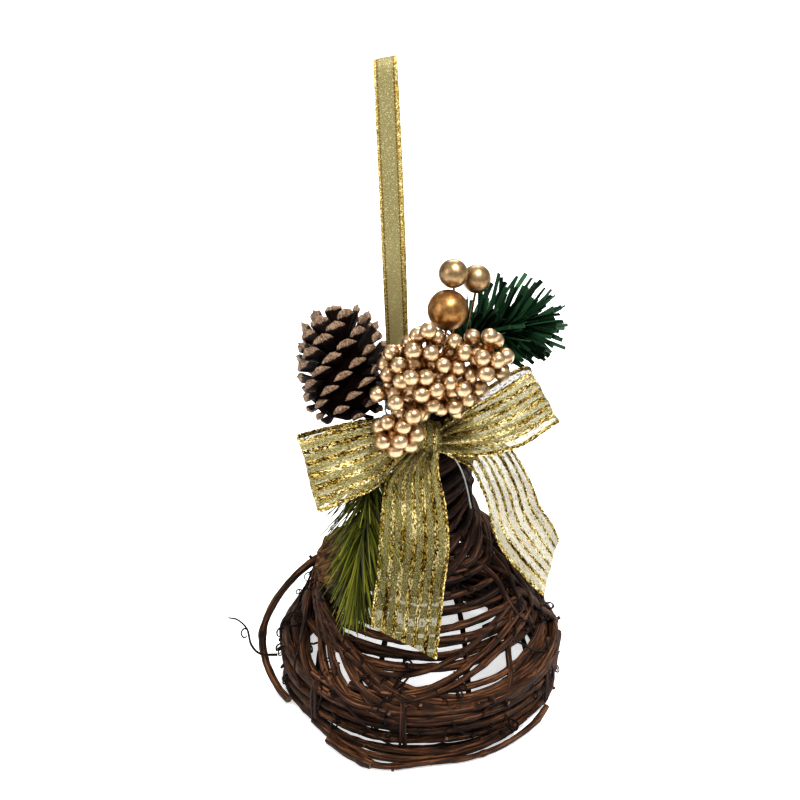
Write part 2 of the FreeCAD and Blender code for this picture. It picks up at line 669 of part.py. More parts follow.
hole_sketch.addGeometry(Part.Circle(hole_centre, Z_AXIS, size("pod_hole")), False)
hole_pocket = pod_body.newObject("PartDesign::Pocket", "dried_pod_seed")
hole_pocket.Profile = hole_sketch
hole_pocket.Reversed = True
hole_pocket.setExpression("Length", "Sizes.pod_hole_depth")
doc.recompute()
seeds = pod_body.newObject("PartDesign::PolarPattern", "dried_pod_seeds")
seeds.Originals = [hole_pocket]
seeds.Axis = (pod_sketch, ["N_Axis"])
seeds.Angle = 360
seeds.Occurrences = POD_SEEDS
pod_body.Tip = seeds
pod_inwards = V(0.6, 0.48, -0.64).normalize()
pod_turn = FreeCAD.Rotation(Z_AXIS, pod_inwards)
pod_body.Placement = FreeCAD.Placement(V(-33.6, -19.8, 71.4), pod_turn)
keep(pod_body, "dried_pod")

# ---- checks and export ------------------------------------------------------------------------
doc.recompute()
for item in doc.Objects:
    if "Invalid" in item.State or "Error" in item.State:
        raise RuntimeError(f"{item.Label} failed: {item.State}")
os.makedirs("parts", exist_ok=True)
for item in nodes:
    if item.Shape.isNull() or not item.Shape.isValid():
        raise RuntimeError(f"{item.Label} has no valid shape")
    item.Shape.exportStep(f"parts/{item.Label}.step")
print(len(nodes), "nodes")
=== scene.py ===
import random
from math import copysign, cos, exp, hypot, pi, radians, sin, sqrt

import bpy
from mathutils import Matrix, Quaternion, Vector, noise


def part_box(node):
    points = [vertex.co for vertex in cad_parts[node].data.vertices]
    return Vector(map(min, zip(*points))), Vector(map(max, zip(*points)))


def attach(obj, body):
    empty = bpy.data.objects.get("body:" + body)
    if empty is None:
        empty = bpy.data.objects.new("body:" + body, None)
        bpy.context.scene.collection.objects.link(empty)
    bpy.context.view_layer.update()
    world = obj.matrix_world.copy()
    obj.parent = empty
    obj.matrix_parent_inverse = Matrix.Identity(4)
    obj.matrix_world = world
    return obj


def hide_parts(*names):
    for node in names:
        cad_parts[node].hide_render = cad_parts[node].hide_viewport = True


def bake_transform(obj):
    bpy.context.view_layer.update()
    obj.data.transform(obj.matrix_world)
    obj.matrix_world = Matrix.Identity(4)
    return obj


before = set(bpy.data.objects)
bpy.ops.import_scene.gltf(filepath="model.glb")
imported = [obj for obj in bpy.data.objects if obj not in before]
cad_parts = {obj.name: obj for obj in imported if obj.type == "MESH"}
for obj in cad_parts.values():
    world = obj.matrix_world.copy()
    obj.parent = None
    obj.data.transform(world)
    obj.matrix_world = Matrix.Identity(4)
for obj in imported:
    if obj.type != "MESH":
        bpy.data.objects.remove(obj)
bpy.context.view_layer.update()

MM = 0.001
UP = Vector((0, 0, 1))
TURN = 2 * pi
GOLDEN_TURN = pi * (3 - sqrt(5))
NECK_X = 3.0
CAMERA_PLACE = (-0.009, -0.52586, 0.38206)
CAMERA_TARGET = (-0.009, 0.0, 0.13468)
CAMERA_LENS = 63.24
CAMERA_SENSOR = 36.0
LIGHTS_TARGET = (0, 0, 0.12)
# place, size and power of each light
LIGHTS = {
    "key_light": ((0.22, -0.36, 1.05), 0.32, 12),
    "fill_light": ((-0.8, -0.5, 0.6), 0.5, 2.2),
    "back_light": ((0.1, 0.9, 0.9), 0.8, 7),
}
# the world's brightness rises from the horizon up: height and brightness at both ends
SKY_RISE = (-0.1, 0.8, 0.32, 0.64)
FLOOR_HALF = 3.0
FLOOR_LEVEL = -0.0002
FLOOR_WHITE = (0.96, 0.96, 0.96)
CUT_TINT = 1.7
STRIPE_PITCH = 5.0
# how far out the vines and the curls may reach
VINE_LIMIT = 61.6
CURL_LIMIT = 64.4
CURL_SIZE = 2.6


# ---- camera, light and floor
def look_at(thing, place, target):
    thing.location = place
    thing.rotation_euler = (Vector(target) - Vector(place)).to_track_quat("-Z", "Y").to_euler()


def add_object(name, data):
    thing = bpy.data.objects.new(name, data)
    bpy.context.scene.collection.objects.link(thing)
    return thing


def add_camera():
    data = bpy.data.cameras.new("camera")
    data.lens = CAMERA_LENS
    data.sensor_width = CAMERA_SENSOR
    data.clip_start = 0.01
    camera = add_object("camera", data)
    look_at(camera, CAMERA_PLACE, CAMERA_TARGET)
    bpy.context.scene.camera = camera


def add_studio():
    world = bpy.data.worlds.new("studio")
    bpy.context.scene.world = world
    world.use_nodes = True
    tree = world.node_tree
    direction = tree.nodes.new("ShaderNodeTexCoord").outputs["Generated"]
    height = tree.nodes.new("ShaderNodeSeparateXYZ")
    soft = tree.nodes.new("ShaderNodeMapRange")
    for socket, value in zip(soft.inputs, (0.0, *SKY_RISE)):
        socket.default_value = value
    tree.links.new(direction, height.inputs[0])
    tree.links.new(height.outputs["Z"], soft.inputs["Value"])
    tree.links.new(soft.outputs[0], tree.nodes["Background"].inputs["Strength"])
    tree.nodes["Background"].inputs["Color"].default_value = (1.0, 1.0, 1.0, 1.0)
    for name, (place, size, power) in LIGHTS.items():
        data = bpy.data.lights.new(name, "AREA")
        data.shape = "DISK"
        data.size = size
        data.energy = power
        look_at(add_object(name, data), place, LIGHTS_TARGET)
    bpy.context.scene.view_settings.view_transform = "Standard"
    bpy.context.scene.view_settings.look = "Medium High Contrast"
    mesh = bpy.data.meshes.new("floor")
    corners = [(x * FLOOR_HALF, y * FLOOR_HALF, FLOOR_LEVEL) for x, y in ((-1, -1), (1, -1), (1, 1), (-1, 1))]
    mesh.from_pydata(corners, [], [(0, 1, 2, 3)])
    mesh.materials.append(Nodes("floor_paint").set(
        Base_Color=FLOOR_WHITE, Roughness=0.9, Emission_Color=FLOOR_WHITE, Emission_Strength=0.5,
    ))
    add_object("floor", mesh)


# ---- node helpers
class Nodes:
    """A material's node tree, with short calls for the nodes that this file uses."""

    def __init__(self, name):
        self.material = bpy.data.materials.new(name)
        self.material.use_nodes = True
        self.tree = self.material.node_tree
        self.shader = self.tree.nodes["Principled BSDF"]

    def add(self, kind, **settings):
        node = self.tree.nodes.new(kind)
        for key, value in settings.items():
            setattr(node, key, value)
        return node

    def plug(self, value, socket):
        """Sets a socket to a number or a colour, or links it to another node's output."""
        if isinstance(value, (int, float)):
            socket.default_value = value
        elif isinstance(value, tuple):
            socket.default_value = (*value, 1.0)
        else:
            self.tree.links.new(value, socket)

    def math(self, operation, *values):
        node = self.add("ShaderNodeMath", operation=operation)
        for value, socket in zip(values, node.inputs):
            self.plug(value, socket)
        return node.outputs[0]

    def plus(self, first, second):
        return self.math("ADD", first, second)

    def times(self, first, second):
        return self.math("MULTIPLY", first, second)

    def tint(self):
        return self.add("ShaderNodeAttribute", attribute_name="tint").outputs["Fac"]

    def grain(self, *scale):
        """The grain attribute: millimetres along a piece, then across it, scaled."""
        mapping = self.add("ShaderNodeMapping")
        mapping.inputs["Scale"].default_value = scale
        attribute = self.add("ShaderNodeAttribute", attribute_name="grain")
        self.plug(attribute.outputs["Vector"], mapping.inputs["Vector"])
        return mapping.outputs["Vector"]

    def split(self, vector):
        node = self.add("ShaderNodeSeparateXYZ")
        self.plug(vector, node.inputs[0])
        return node.outputs

    def noise(self, grain, detail=3.0, roughness=0.55, distortion=0.0):
        node = self.add("ShaderNodeTexNoise")
        for name, value in (
            ("Vector", self.grain(*grain)), ("Scale", 1.0), ("Detail", detail),
            ("Roughness", roughness), ("Distortion", distortion),
        ):
            self.plug(value, node.inputs[name])
        return node.outputs["Fac"]

    def cells(self, *grain):
        """A random value per cell, and the distance from the cell's centre."""
        node = self.add("ShaderNodeTexVoronoi")
        self.plug(self.grain(*grain), node.inputs["Vector"])
        self.plug(1.0, node.inputs["Scale"])
        return self.split(node.outputs["Color"])[0], node.outputs["Distance"]

    def ramp(self, value, *stops):
        node = self.add("ShaderNodeValToRGB")
        elements = node.color_ramp.elements
        while len(elements) < len(stops):
            elements.new(0.5)
        for element, (place, colour) in zip(elements, stops):
            element.position = place
            element.color = (*colour, 1.0)
        self.plug(value, node.inputs["Fac"])
        return node.outputs["Color"]

    def level(self, value, low, high, out_low=0.0, out_high=1.0):
        """The value's range from low to high stretched to another range, and kept inside it."""
        node = self.add("ShaderNodeMapRange")
        for item, socket in zip((value, low, high, out_low, out_high), node.inputs):
            self.plug(item, socket)
        return node.outputs[0]

    def mix(self, factor, first, second, blend="MIX"):
        node = self.add("ShaderNodeMix", data_type="RGBA", blend_type=blend)
        for value, number in ((factor, 0), (first, 6), (second, 7)):
            self.plug(value, node.inputs[number])
        return node.outputs[2]

    def bump(self, height, distance, strength=1.0):
        node = self.add("ShaderNodeBump")
        self.plug(strength, node.inputs["Strength"])
        self.plug(distance * MM, node.inputs["Distance"])
        self.plug(height, node.inputs["Height"])
        self.plug(node.outputs["Normal"], self.shader.inputs["Normal"])

    def set(self, **values):
        for key, value in values.items():
            self.plug(value, self.shader.inputs[key.replace("_", " ")])
        return self.material


# ---- materials
def bark_material(name, dark, middle, light, gloss=0.6):
    """Bark with long streaks, blotches and fine cracks along the vine; cut ends are pale; painted light
    brightens the tops and painted shade darkens the undersides.
    """
    nodes = Nodes(name)
    streaks = nodes.noise((0.07, 1.3, 1.3), 5.0, 0.62, 0.4)
    blotches = nodes.noise((0.06, 0.15, 0.15), 3.0, 0.6)
    colour = nodes.ramp(streaks, (0.34, dark), (0.5, middle), (0.66, light))
    tint = nodes.tint()
    shade = nodes.plus(
        nodes.level(blotches, 0.25, 0.75, 0.45, 1.25), nodes.level(tint, 0.0, 1.0, -0.38, 0.42),
    )
    shades = nodes.ramp(
        nodes.times(shade, 0.5), (0.1, (0.25, 0.22, 0.22)), (0.5, (1.0, 0.97, 0.95)), (0.9, (1.7, 1.6, 1.5)),
    )
    shaded = nodes.mix(1.0, colour, shades, "MULTIPLY")
    # painted light and shade: the colour is lightened where the surface faces up and darkened where it faces
    # down
    facing = nodes.split(nodes.add("ShaderNodeNewGeometry").outputs["Normal"])[2]
    painted_light_by_facing = nodes.ramp(
        nodes.level(facing, -1.0, 1.0), (0.2, (0.30, 0.26, 0.30)), (0.55, (0.75, 0.70, 0.72)),
        (0.88, (1.45, 1.35, 1.15)),
    )
    shaded = nodes.mix(1.0, shaded, painted_light_by_facing, "MULTIPLY")
    cut = nodes.level(tint, CUT_TINT - 0.2, CUT_TINT - 0.1)
    wood = nodes.mix(cut, shaded, (0.15, 0.088, 0.05))
    cracks = nodes.noise((0.16, 3.2, 3.2), 5.0, 0.7)
    nodes.bump(cracks, 0.5, 0.9)
    return nodes.set(
        Base_Color=wood, Roughness=nodes.level(streaks, 0.3, 0.7, gloss - 0.15, gloss + 0.15),
        Specular_IOR_Level=0.14,
    )


# the gold thread's colour by cell, with painted glints in its brightest stops and painted shade in its
# darkest
LUREX_GLINT_STOPS = (
    (0.12, (0.018, 0.007, 0.0015)), (0.3, (0.11, 0.060, 0.009)), (0.52, (0.33, 0.225, 0.032)),
    (0.76, (0.66, 0.49, 0.13)), (0.94, (1.0, 0.92, 0.58)),
)


def bow_material(name, sheer_alpha):
    """Sheer ribbon with sparkling gold stripes; a low tint darkens it with painted shade and a high one makes
    it pale.
    """
    nodes = Nodes(name)
    across = nodes.split(nodes.grain(1, 1, 1))[1]
    waver = nodes.level(nodes.noise((0.5, 0.3, 0), 2.0), 0.3, 0.7, -0.25, 0.25)
    place = nodes.plus(across, waver)
    turns = nodes.math("FRACT", nodes.plus(nodes.math("DIVIDE", place, STRIPE_PITCH), 0.5))
    distance = nodes.times(nodes.math("ABSOLUTE", nodes.math("SUBTRACT", turns, 0.5)), STRIPE_PITCH)
    pale = nodes.level(nodes.tint(), 0.5, 1.0)
    stripe = nodes.level(nodes.plus(distance, nodes.times(pale, 0.32)), 0.95, 1.35, 1.0, 0.0)
    sparkle, edge = nodes.cells(1.5, 2.6, 0)
    # painted shade and light: broad patches of the gold thread are darkened or brightened as if by folds
    painted_fold_shade = nodes.noise((0.05, 0.12, 0), 2.0)
    glint_and_fold_shade = nodes.plus(sparkle, nodes.level(painted_fold_shade, 0.35, 0.65, -0.3, 0.26))
    lurex = nodes.ramp(nodes.plus(glint_and_fold_shade, nodes.times(pale, 0.04)), *LUREX_GLINT_STOPS)
    threads = nodes.noise((0.8, 5.0, 0), 3.0, 0.7)
    sheer = nodes.ramp(
        threads, (0.3, (0.15, 0.125, 0.026)), (0.5, (0.30, 0.26, 0.075)), (0.7, (0.66, 0.62, 0.40)),
    )
    flecks = nodes.level(nodes.cells(1.1, 1.9, 0)[0], 0.78, 0.82)
    sheer = nodes.mix(nodes.times(pale, 0.85), sheer, (0.50, 0.47, 0.37))
    sheer = nodes.mix(nodes.times(flecks, 0.7), sheer, lurex)
    colour = nodes.mix(stripe, sheer, lurex)
    # painted shade: a tint below 0.5 darkens the whole cloth
    painted_shade_factor = nodes.ramp(nodes.tint(), (0.0, (0.30, 0.30, 0.27)), (0.5, (1.0, 1.0, 1.0)))
    colour = nodes.mix(1.0, colour, painted_shade_factor, "MULTIPLY")
    shine = nodes.math("MAXIMUM", stripe, nodes.times(flecks, 0.7))
    height = nodes.times(nodes.plus(sparkle, nodes.times(edge, -0.7)), nodes.level(shine, 0, 1, 0.25, 1.0))
    nodes.bump(height, 0.5, 1.0)
    cover = nodes.level(threads, 0.3, 0.7, sheer_alpha - 0.15, sheer_alpha + 0.2)
    cover = nodes.plus(cover, nodes.times(pale, 0.28))
    return nodes.set(
        Base_Color=colour,
        Metallic=nodes.level(shine, 0, 1, 0.1, 0.9), Specular_IOR_Level=0.25,
        Roughness=nodes.level(sparkle, 0, 1, 0.22, 0.5),
        Alpha=nodes.math("MAXIMUM", cover, nodes.times(shine, 0.97)),
    )


def braid_material(name):
    """Metallic thread."""
    nodes = Nodes(name)
    sparkle, edge = nodes.cells(1.6, 1.6, 1.6)
    nodes.bump(nodes.math("SUBTRACT", sparkle, edge), 0.4, 0.9)
    return nodes.set(Base_Color=nodes.ramp(sparkle, *LUREX_GLINT_STOPS), Metallic=0.85, Roughness=0.3)


def hanger_material(name):
    """Pale gold satin with a stitched line inside each metallic edge."""
    nodes = Nodes(name)
    along, across, _ = nodes.split(nodes.grain(1, 1, 1))
    reach = nodes.math("ABSOLUTE", across)
    weave = nodes.noise((2.2, 3.0, 0), 4.0, 0.75)
    satin = nodes.ramp(
        weave, (0.3, (0.09, 0.075, 0.022)), (0.5, (0.21, 0.18, 0.065)), (0.72, (0.48, 0.42, 0.22)),
    )
    # painted light: the satin turns paler towards both feet of the loop, by the knot, where it sits in shade
    painted_light_near_knot = nodes.level(
        nodes.math("ABSOLUTE", nodes.math("SUBTRACT", along, 127.0)), 62.0, 118.0, 0.0, 0.55,
    )
    satin = nodes.mix(painted_light_near_knot, satin, (0.60, 0.52, 0.25))
    sparkle = nodes.cells(2.6, 3.2, 0)[0]
    gold = nodes.ramp(nodes.level(sparkle, 0.0, 1.0, 0.3, 0.95), *LUREX_GLINT_STOPS)
    border = nodes.level(reach, 3.45, 3.6)
    line = nodes.times(nodes.level(reach, 2.75, 2.9), nodes.level(reach, 3.3, 3.45, 1.0, 0.0))
    stitches = nodes.math("GREATER_THAN", nodes.math("FRACT", nodes.times(along, 0.62)), 0.22)
    stitch = nodes.times(line, stitches)
    colour = nodes.mix(border, satin, gold)
    colour = nodes.mix(stitch, colour, (0.16, 0.085, 0.012))
    # painted glints: a few cells of the satin turn pale gold
    twinkle = nodes.level(nodes.cells(2.6, 3.4, 0)[0], 0.9, 0.94)
    colour = nodes.mix(nodes.times(twinkle, 0.3), colour, (0.95, 0.88, 0.62))
    nodes.bump(nodes.plus(nodes.times(weave, 0.8), nodes.times(sparkle, border)), 0.35, 0.9)
    return nodes.set(
        Base_Color=colour, Roughness=nodes.level(weave, 0.3, 0.7, 0.5, 0.32),
        Metallic=nodes.level(nodes.math("MAXIMUM", border, stitch), 0, 1, 0.45, 0.85),
    )


def metal_material(name, dark, light, roughness, metallic=1.0, speckle=0.1, coat=0.0):
    """Lacquered metal-look plastic, a little mottled."""
    nodes = Nodes(name)
    clouds = nodes.noise((0.5, 0.5, 0.5), 4.0, 0.6)
    fine = nodes.noise((4.0, 4.0, 4.0), 3.0, 0.7)
    nodes.bump(fine, 0.05, speckle)
    return nodes.set(
        Base_Color=nodes.ramp(clouds, (0.35, dark), (0.62, light)), Metallic=metallic,
        Roughness=nodes.level(fine, 0.3, 0.7, roughness - 0.06, roughness + 0.08),
        Coat_Weight=coat, Coat_Roughness=0.12,
    )


def core_material(name):
    """The middle of the pinecone, between its scales, painted near black as shade."""
    nodes = Nodes(name)
    fibres = nodes.noise((0.9, 0.3, 2.0), 3.0, 0.6)
    nodes.bump(fibres, 0.5, 1.0)
    return nodes.set(
        Base_Color=nodes.ramp(fibres, (0.3, (0.0006, 0.0003, 0.0002)), (0.7, (0.009, 0.0038, 0.0026))),
        Roughness=0.95, Specular_IOR_Level=0.02,
    )


def scale_material(name):
    """Pinecone wood: nearly black inside, partly painted shade between the scales, brown blades, tan tips
    touched with gold.
    """
    nodes = Nodes(name)
    tint = nodes.tint()
    fibres = nodes.noise((0.35, 1.6, 1.6), 5.0, 0.7)
    # the blades' darkest stops are painted shade, where the scales lie over each other; the browner ones are
    # the wood's own colour
    blade = nodes.ramp(
        fibres, (0.3, (0.0015, 0.0008, 0.0007)), (0.55, (0.010, 0.0038, 0.0028)),
        (0.75, (0.055, 0.021, 0.015)),
    )
    tip = nodes.ramp(
        fibres, (0.3, (0.045, 0.024, 0.016)), (0.5, (0.19, 0.118, 0.075)), (0.7, (0.50, 0.37, 0.24)),
    )
    edge = nodes.plus(tint, nodes.level(fibres, 0.3, 0.7, -0.18, 0.18))
    colour = nodes.mix(nodes.level(edge, 0.45, 0.6), blade, tip)
    nodes.bump(fibres, 0.45, 0.9)
    return nodes.set(
        Base_Color=colour, Roughness=nodes.level(fibres, 0.3, 0.7, 0.42, 0.6),
        Metallic=nodes.level(edge, 0.6, 0.95, 0.0, 0.3), Specular_IOR_Level=0.25,
    )


def leaf_material(name, dark, middle, light):
    """Cut plastic foliage, lighter or darker by needle and streaked along it."""
    nodes = Nodes(name)
    tint = nodes.tint()
    streaks = nodes.noise((0.15, 3.0, 3.0), 3.0, 0.6)
    shade = nodes.plus(nodes.times(tint, 0.7), nodes.times(streaks, 0.4))
    nodes.bump(streaks, 0.12, 0.5)
    return nodes.set(
        Base_Color=nodes.ramp(shade, (0.15, dark), (0.5, middle), (0.85, light)), Roughness=0.5,
        Specular_IOR_Level=0.16,
    )


def make_materials():
    return {
        "vine_brown": bark_material(
            "bark_brown", (0.002, 0.0008, 0.0004), (0.031, 0.0130, 0.0063), (0.150, 0.074, 0.037),
        ),
        "vine_dark": bark_material(
            "bark_dark", (0.0015, 0.0007, 0.0005), (0.018, 0.0082, 0.0048), (0.105, 0.054, 0.032),
        ),
        "tendril": bark_material(
            "tendril_dry", (0.003, 0.0015, 0.0015), (0.010, 0.005, 0.004), (0.035, 0.018, 0.014),
        ),
        "twine": bark_material(
            "twine_dry", (0.010, 0.005, 0.004), (0.040, 0.019, 0.012), (0.11, 0.055, 0.034),
        ),
        "bow": bow_material("bow_ribbon_sheer", 0.40),
        "bow_edge": braid_material("bow_ribbon_edge"),
        "hanger": hanger_material("hanger_ribbon_satin"),
        "wire": metal_material("tie_wire_steel", (0.10, 0.10, 0.09), (0.22, 0.21, 0.19), 0.4, 0.9),
        "stem": metal_material("sprig_stem_green", (0.012, 0.016, 0.006), (0.035, 0.042, 0.014), 0.55, 0.3),
        "thread": metal_material("thread_grey", (0.34, 0.35, 0.36), (0.62, 0.63, 0.64), 0.5, 0.0),
        "bronze": metal_material(
            "ball_bronze_satin", (0.22, 0.105, 0.033), (0.38, 0.205, 0.075), 0.35, 0.95, 0.6,
        ),
        "gold": metal_material("ball_gold_satin", (0.23, 0.145, 0.068), (0.38, 0.26, 0.14), 0.35, 0.95, 0.6),
        "berry": metal_material(
            "berry_champagne", (0.42, 0.275, 0.145), (0.64, 0.475, 0.305), 0.29, 1.0, 0.3, 0.1,
        ),
        "copper": metal_material(
            "berry_copper", (0.16, 0.06, 0.014), (0.42, 0.20, 0.07), 0.33, 0.95, 0.5, 0.1,
        ),
        "cone": scale_material("pinecone_wood"),
        "cone_core": core_material("pinecone_shade"),
        "strips": leaf_material(
            "needle_dark_strip", (0.0015, 0.006, 0.003), (0.006, 0.028, 0.011), (0.030, 0.095, 0.040),
        ),
        "needles": leaf_material(
            "needle_olive_fine", (0.007, 0.010, 0.001), (0.038, 0.047, 0.003), (0.17, 0.17, 0.018),
        ),
        "pod": bark_material(
            "pod_husk", (0.022, 0.010, 0.005), (0.085, 0.048, 0.024), (0.22, 0.14, 0.075), 0.7,
        ),
    }


# ---- meshes
class Builder:
    """Collects the points and faces of several strands, beads or blades into one piece."""

    def __init__(self):
        self.points = []
        self.faces = []
        self.grain = []
        self.tint = []
        self.slots = []
        self.slot = 0

    def point(self, place, grain, tint=0.5):
        self.points.append(Vector((place[0], place[1], max(place[2], 0.02))) * MM)
        self.grain.extend(grain)
        self.tint.append(tint)

    def face(self, *corners):
        self.faces.append(corners)
        self.slots.append(self.slot)

    def skin(self, base, rings, sides, caps=True):
        """Faces between rings of points that were added one ring after another, and over both ends."""
        for ring in range(rings - 1):
            for step in range(sides):
                following = (step + 1) % sides
                low = base + ring * sides
                high = low + sides
                self.face(low + step, low + following, high + following, high + step)
        if caps:
            last = base + (rings - 1) * sides
            self.face(*(base + step for step in reversed(range(sides))))
            self.face(*(last + step for step in range(sides)))

    def tube(self, path, radius_at, sides=10, tint=0.5, rough=0.0, seed=0.0, cut_ends=False):
        """A closed tube along points, uneven by the share rough; cut ends get a face of their own."""
        base = len(self.points)
        offset = Vector((seed * 7.31, seed * 3.17, seed * 5.77))
        for place, along, (side, up) in zip(path, lengths_along(path), carried_frames(path)):
            radius = radius_at(along)
            for step in range(sides):
                angle = TURN * step / sides
                x = cos(angle)
                y = sin(angle)
                swell = 1.0
                if rough:
                    swell += rough * noise.noise(Vector((along * 0.11, x * 1.2, y * 1.2)) + offset)
                    swell += rough * 0.6 * noise.noise(Vector((along * 0.35, x * 3.4, y * 3.4)) + offset)
                spot = place + (side * x + up * y) * (radius * swell)
                self.point(spot, (along + seed * 50, x * radius, y * radius), tint)
        self.skin(base, len(path), sides, caps=not cut_ends)
        if not cut_ends:
            return
        for ring, order in ((0, -1), (len(path) - 1, 1)):
            start = base + ring * sides
            centre = len(self.points)
            rim = centre + 1
            self.point(path[ring], (along + seed * 50, 0, 0), CUT_TINT)
            for step in range(sides):
                self.points.append(self.points[start + step].copy())
                self.grain.extend((along, 1, 1))
                self.tint.append(CUT_TINT)
            for step in range(sides):
                corners = (centre, rim + step, rim + (step + 1) % sides)
                self.face(*corners[::order])

    def bead(self, centre, radius, axis, rings=14, sides=20, dimple=0.0, nub=0.0, tint=0.5):
        """A ball with a dimple round its stem, at the end that axis points from, and a nub opposite."""
        base = len(self.points)
        turn = UP.rotation_difference(axis)
        shift = centre.x * 3.1
        for ring in range(rings + 1):
            tilt = pi * (ring + 0.02) / (rings + 0.04)
            bulge = nub * exp(-(tilt / 0.16) ** 2)
            reach = radius * (1 + bulge - dimple * exp(-((pi - tilt) / 0.3) ** 2))
            for step in range(sides):
                angle = TURN * step / sides
                local = polar(angle, sin(tilt), cos(tilt))
                uneven = 1 + 0.014 * noise.noise(local * 1.6 + centre)
                self.point(
                    centre + turn @ (local * reach * uneven),
                    tuple(local * radius + Vector((shift, centre.y, centre.z))), tint,
                )
        self.skin(base, rings + 1, sides)

    def blade(self, path, width, thickness, flat, tint=0.5, taper=0.0, twist=0.0, seed=0.0):
        """A flat strip along a short path, wide across the direction flat."""
        base = len(self.points)
        count = len(path)
        for index, (place, along) in enumerate(zip(path, lengths_along(path))):
            forward = heading(path, index)
            side = flat - forward * flat.dot(forward)
            if side.length < 0.01:
                side = forward.orthogonal()
            side = Quaternion(forward, twist * index / (count - 1)) @ side.normalized()
            out = forward.cross(side)
            share = 1 - taper * (index / (count - 1)) ** 2
            for x, y in ((-1, -1), (1, -1), (1, 1), (-1, 1)):
                spot = place + side * (x * width * share / 2) + out * (y * thickness * share / 2)
                self.point(spot, (along + seed * 30, x * width / 2, y), tint)
        self.skin(base, count, 4)

    def finish(self, name, materials, slot, node, body="bell", smooth=True):
        mesh = bpy.data.meshes.new(name)
        mesh.from_pydata(self.points, [], self.faces)
        for material in materials if isinstance(materials, tuple) else (materials,):
            mesh.materials.append(material)
        mesh.attributes.new("grain", "FLOAT_VECTOR", "POINT").data.foreach_set("vector", self.grain)
        mesh.attributes.new("tint", "FLOAT", "POINT").data.foreach_set("value", self.tint)
        mesh.polygons.foreach_set("material_index", self.slots)
        mesh.polygons.foreach_set("use_smooth", [smooth] * len(mesh.polygons))
        mesh.update()
        thing = add_object(name, mesh)
        if body:
            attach(thing, body)
        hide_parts(node)
        return thing


def heading(path, index):
    """The direction of a path at one of its points."""
    return (path[min(index + 1, len(path) - 1)] - path[max(index - 1, 0)]).normalized()


def lengths_along(path):
    """How far along a path each of its points is."""
    lengths = [0.0]
    for before, after in zip(path, path[1:]):
        lengths.append(lengths[-1] + (after - before).length)
    return lengths


def carried_frames(path):
    """Side and up directions that turn as little as possible along a path."""
    frames = []
    side = None
    for index in range(len(path)):
        forward = heading(path, index)
        if side is None:
            side = forward.orthogonal().normalized()
        side = (side - forward * side.dot(forward)).normalized()
        frames.append((side, forward.cross(side)))
    return frames


def smooth_values(rows, step=1.0):
    """A Catmull-Rom curve through rows of numbers, the first three of them a place."""
    rows = [Vector(row) for row in rows]
    padded = [2 * rows[0] - rows[1]] + rows + [2 * rows[-1] - rows[-2]]
    result = []
    for a, b, c, d in zip(padded, padded[1:], padded[2:], padded[3:]):
        count = max(2, int((c - b).length / step))
        for index in range(count):
            t = index / count
            result.append(0.5 * (
                2 * b + (c - a) * t + (2 * a - 5 * b + 4 * c - d) * t * t + (3 * b - a - 3 * c + d) * t ** 3
            ))
    result.append(rows[-1])
    return result


def between(value, stops):
    """A value read off a line of (place, value) stops."""
    for (low, first), (high, second) in zip(stops, stops[1:]):
        if value <= high:
            share = max(0.0, (value - low) / (high - low))
            return first + (second - first) * share
    return stops[-1][1]


def polar(angle, reach=1.0, height=0.0):
    """The point at an angle and a distance round the vertical axis."""
    return Vector((reach * cos(angle), reach * sin(angle), height))


def scatter(rng, *reaches):
    """A random vector within the given reach along each axis."""
    return Vector([rng.uniform(-reach, reach) for reach in reaches])


def ellipsoid_point(level, spin):
    """The point of the unit ball at a level from -1 to 1 and an angle."""
    return polar(spin, sqrt(1 - level * level), level)


def each_times(first, second):
    return Vector([a * b for a, b in zip(first, second)])


def ease(share):
    share = min(max(share, 0.0), 1.0)
    return share * share * (3 - 2 * share)


# ---- the vine bell
# the bell's outline: its radius by height
WALL = (
    (0, 59.4), (22, 59.0), (29, 55.5), (36, 50.2), (51.6, 43.6), (57, 39.2), (79, 21.5), (88, 17.2),
    (146, 15.9),
)


def knotty(radius, length, rng, swell=0.3):
    """A vine's radius along its length: it wanders a little and swells at its nodes."""
    knots = []
    place = rng.uniform(4, 20)
    while place < length:
        knots.append((place, rng.uniform(0.4, 1.0) * swell, rng.uniform(1.4, 2.6)))
        place += rng.uniform(20, 46)
    phase = rng.uniform(0, 100)

    def radius_at(along):
        share = 1 + 0.16 * noise.noise(Vector((along * 0.04, phase, 0)))
        for centre, height, width in knots:
            distance = (along - centre) / width
            if abs(distance) < 3:
                share += height * exp(-distance * distance)
        return radius * share

    return radius_at, [knot[0] for knot in knots]


def wound_path(radius_of, height_of, centre_x, start, sweep, rng, wander, floor, step=1.2):
    """Part of a turn, or a little more than one, round the bell's wall, wandering in and out."""
    seed = rng.uniform(0, 100)
    count = max(8, int(abs(sweep) * radius_of(0.5) / step))
    path = []
    for index in range(count + 1):
        share = index / count
        angle = start + share * sweep
        x = cos(angle)
        y = sin(angle)
        swing = noise.noise(Vector((x * 1.3 + share, y * 1.3, seed)))
        lift = noise.noise(Vector((x * 1.2, y * 1.2 + share, seed + 31)))
        quick = noise.noise(Vector((x * 4, y * 4 + share * 3, seed + 57)))
        reach = min(radius_of(share) + wander * (1.7 * swing + 0.5 * quick), VINE_LIMIT)
        height = height_of(share) + wander * (2.2 * lift + 0.5 * quick)
        path.append(Vector((centre_x + reach * x, reach * y, max(height, floor))))
    return path


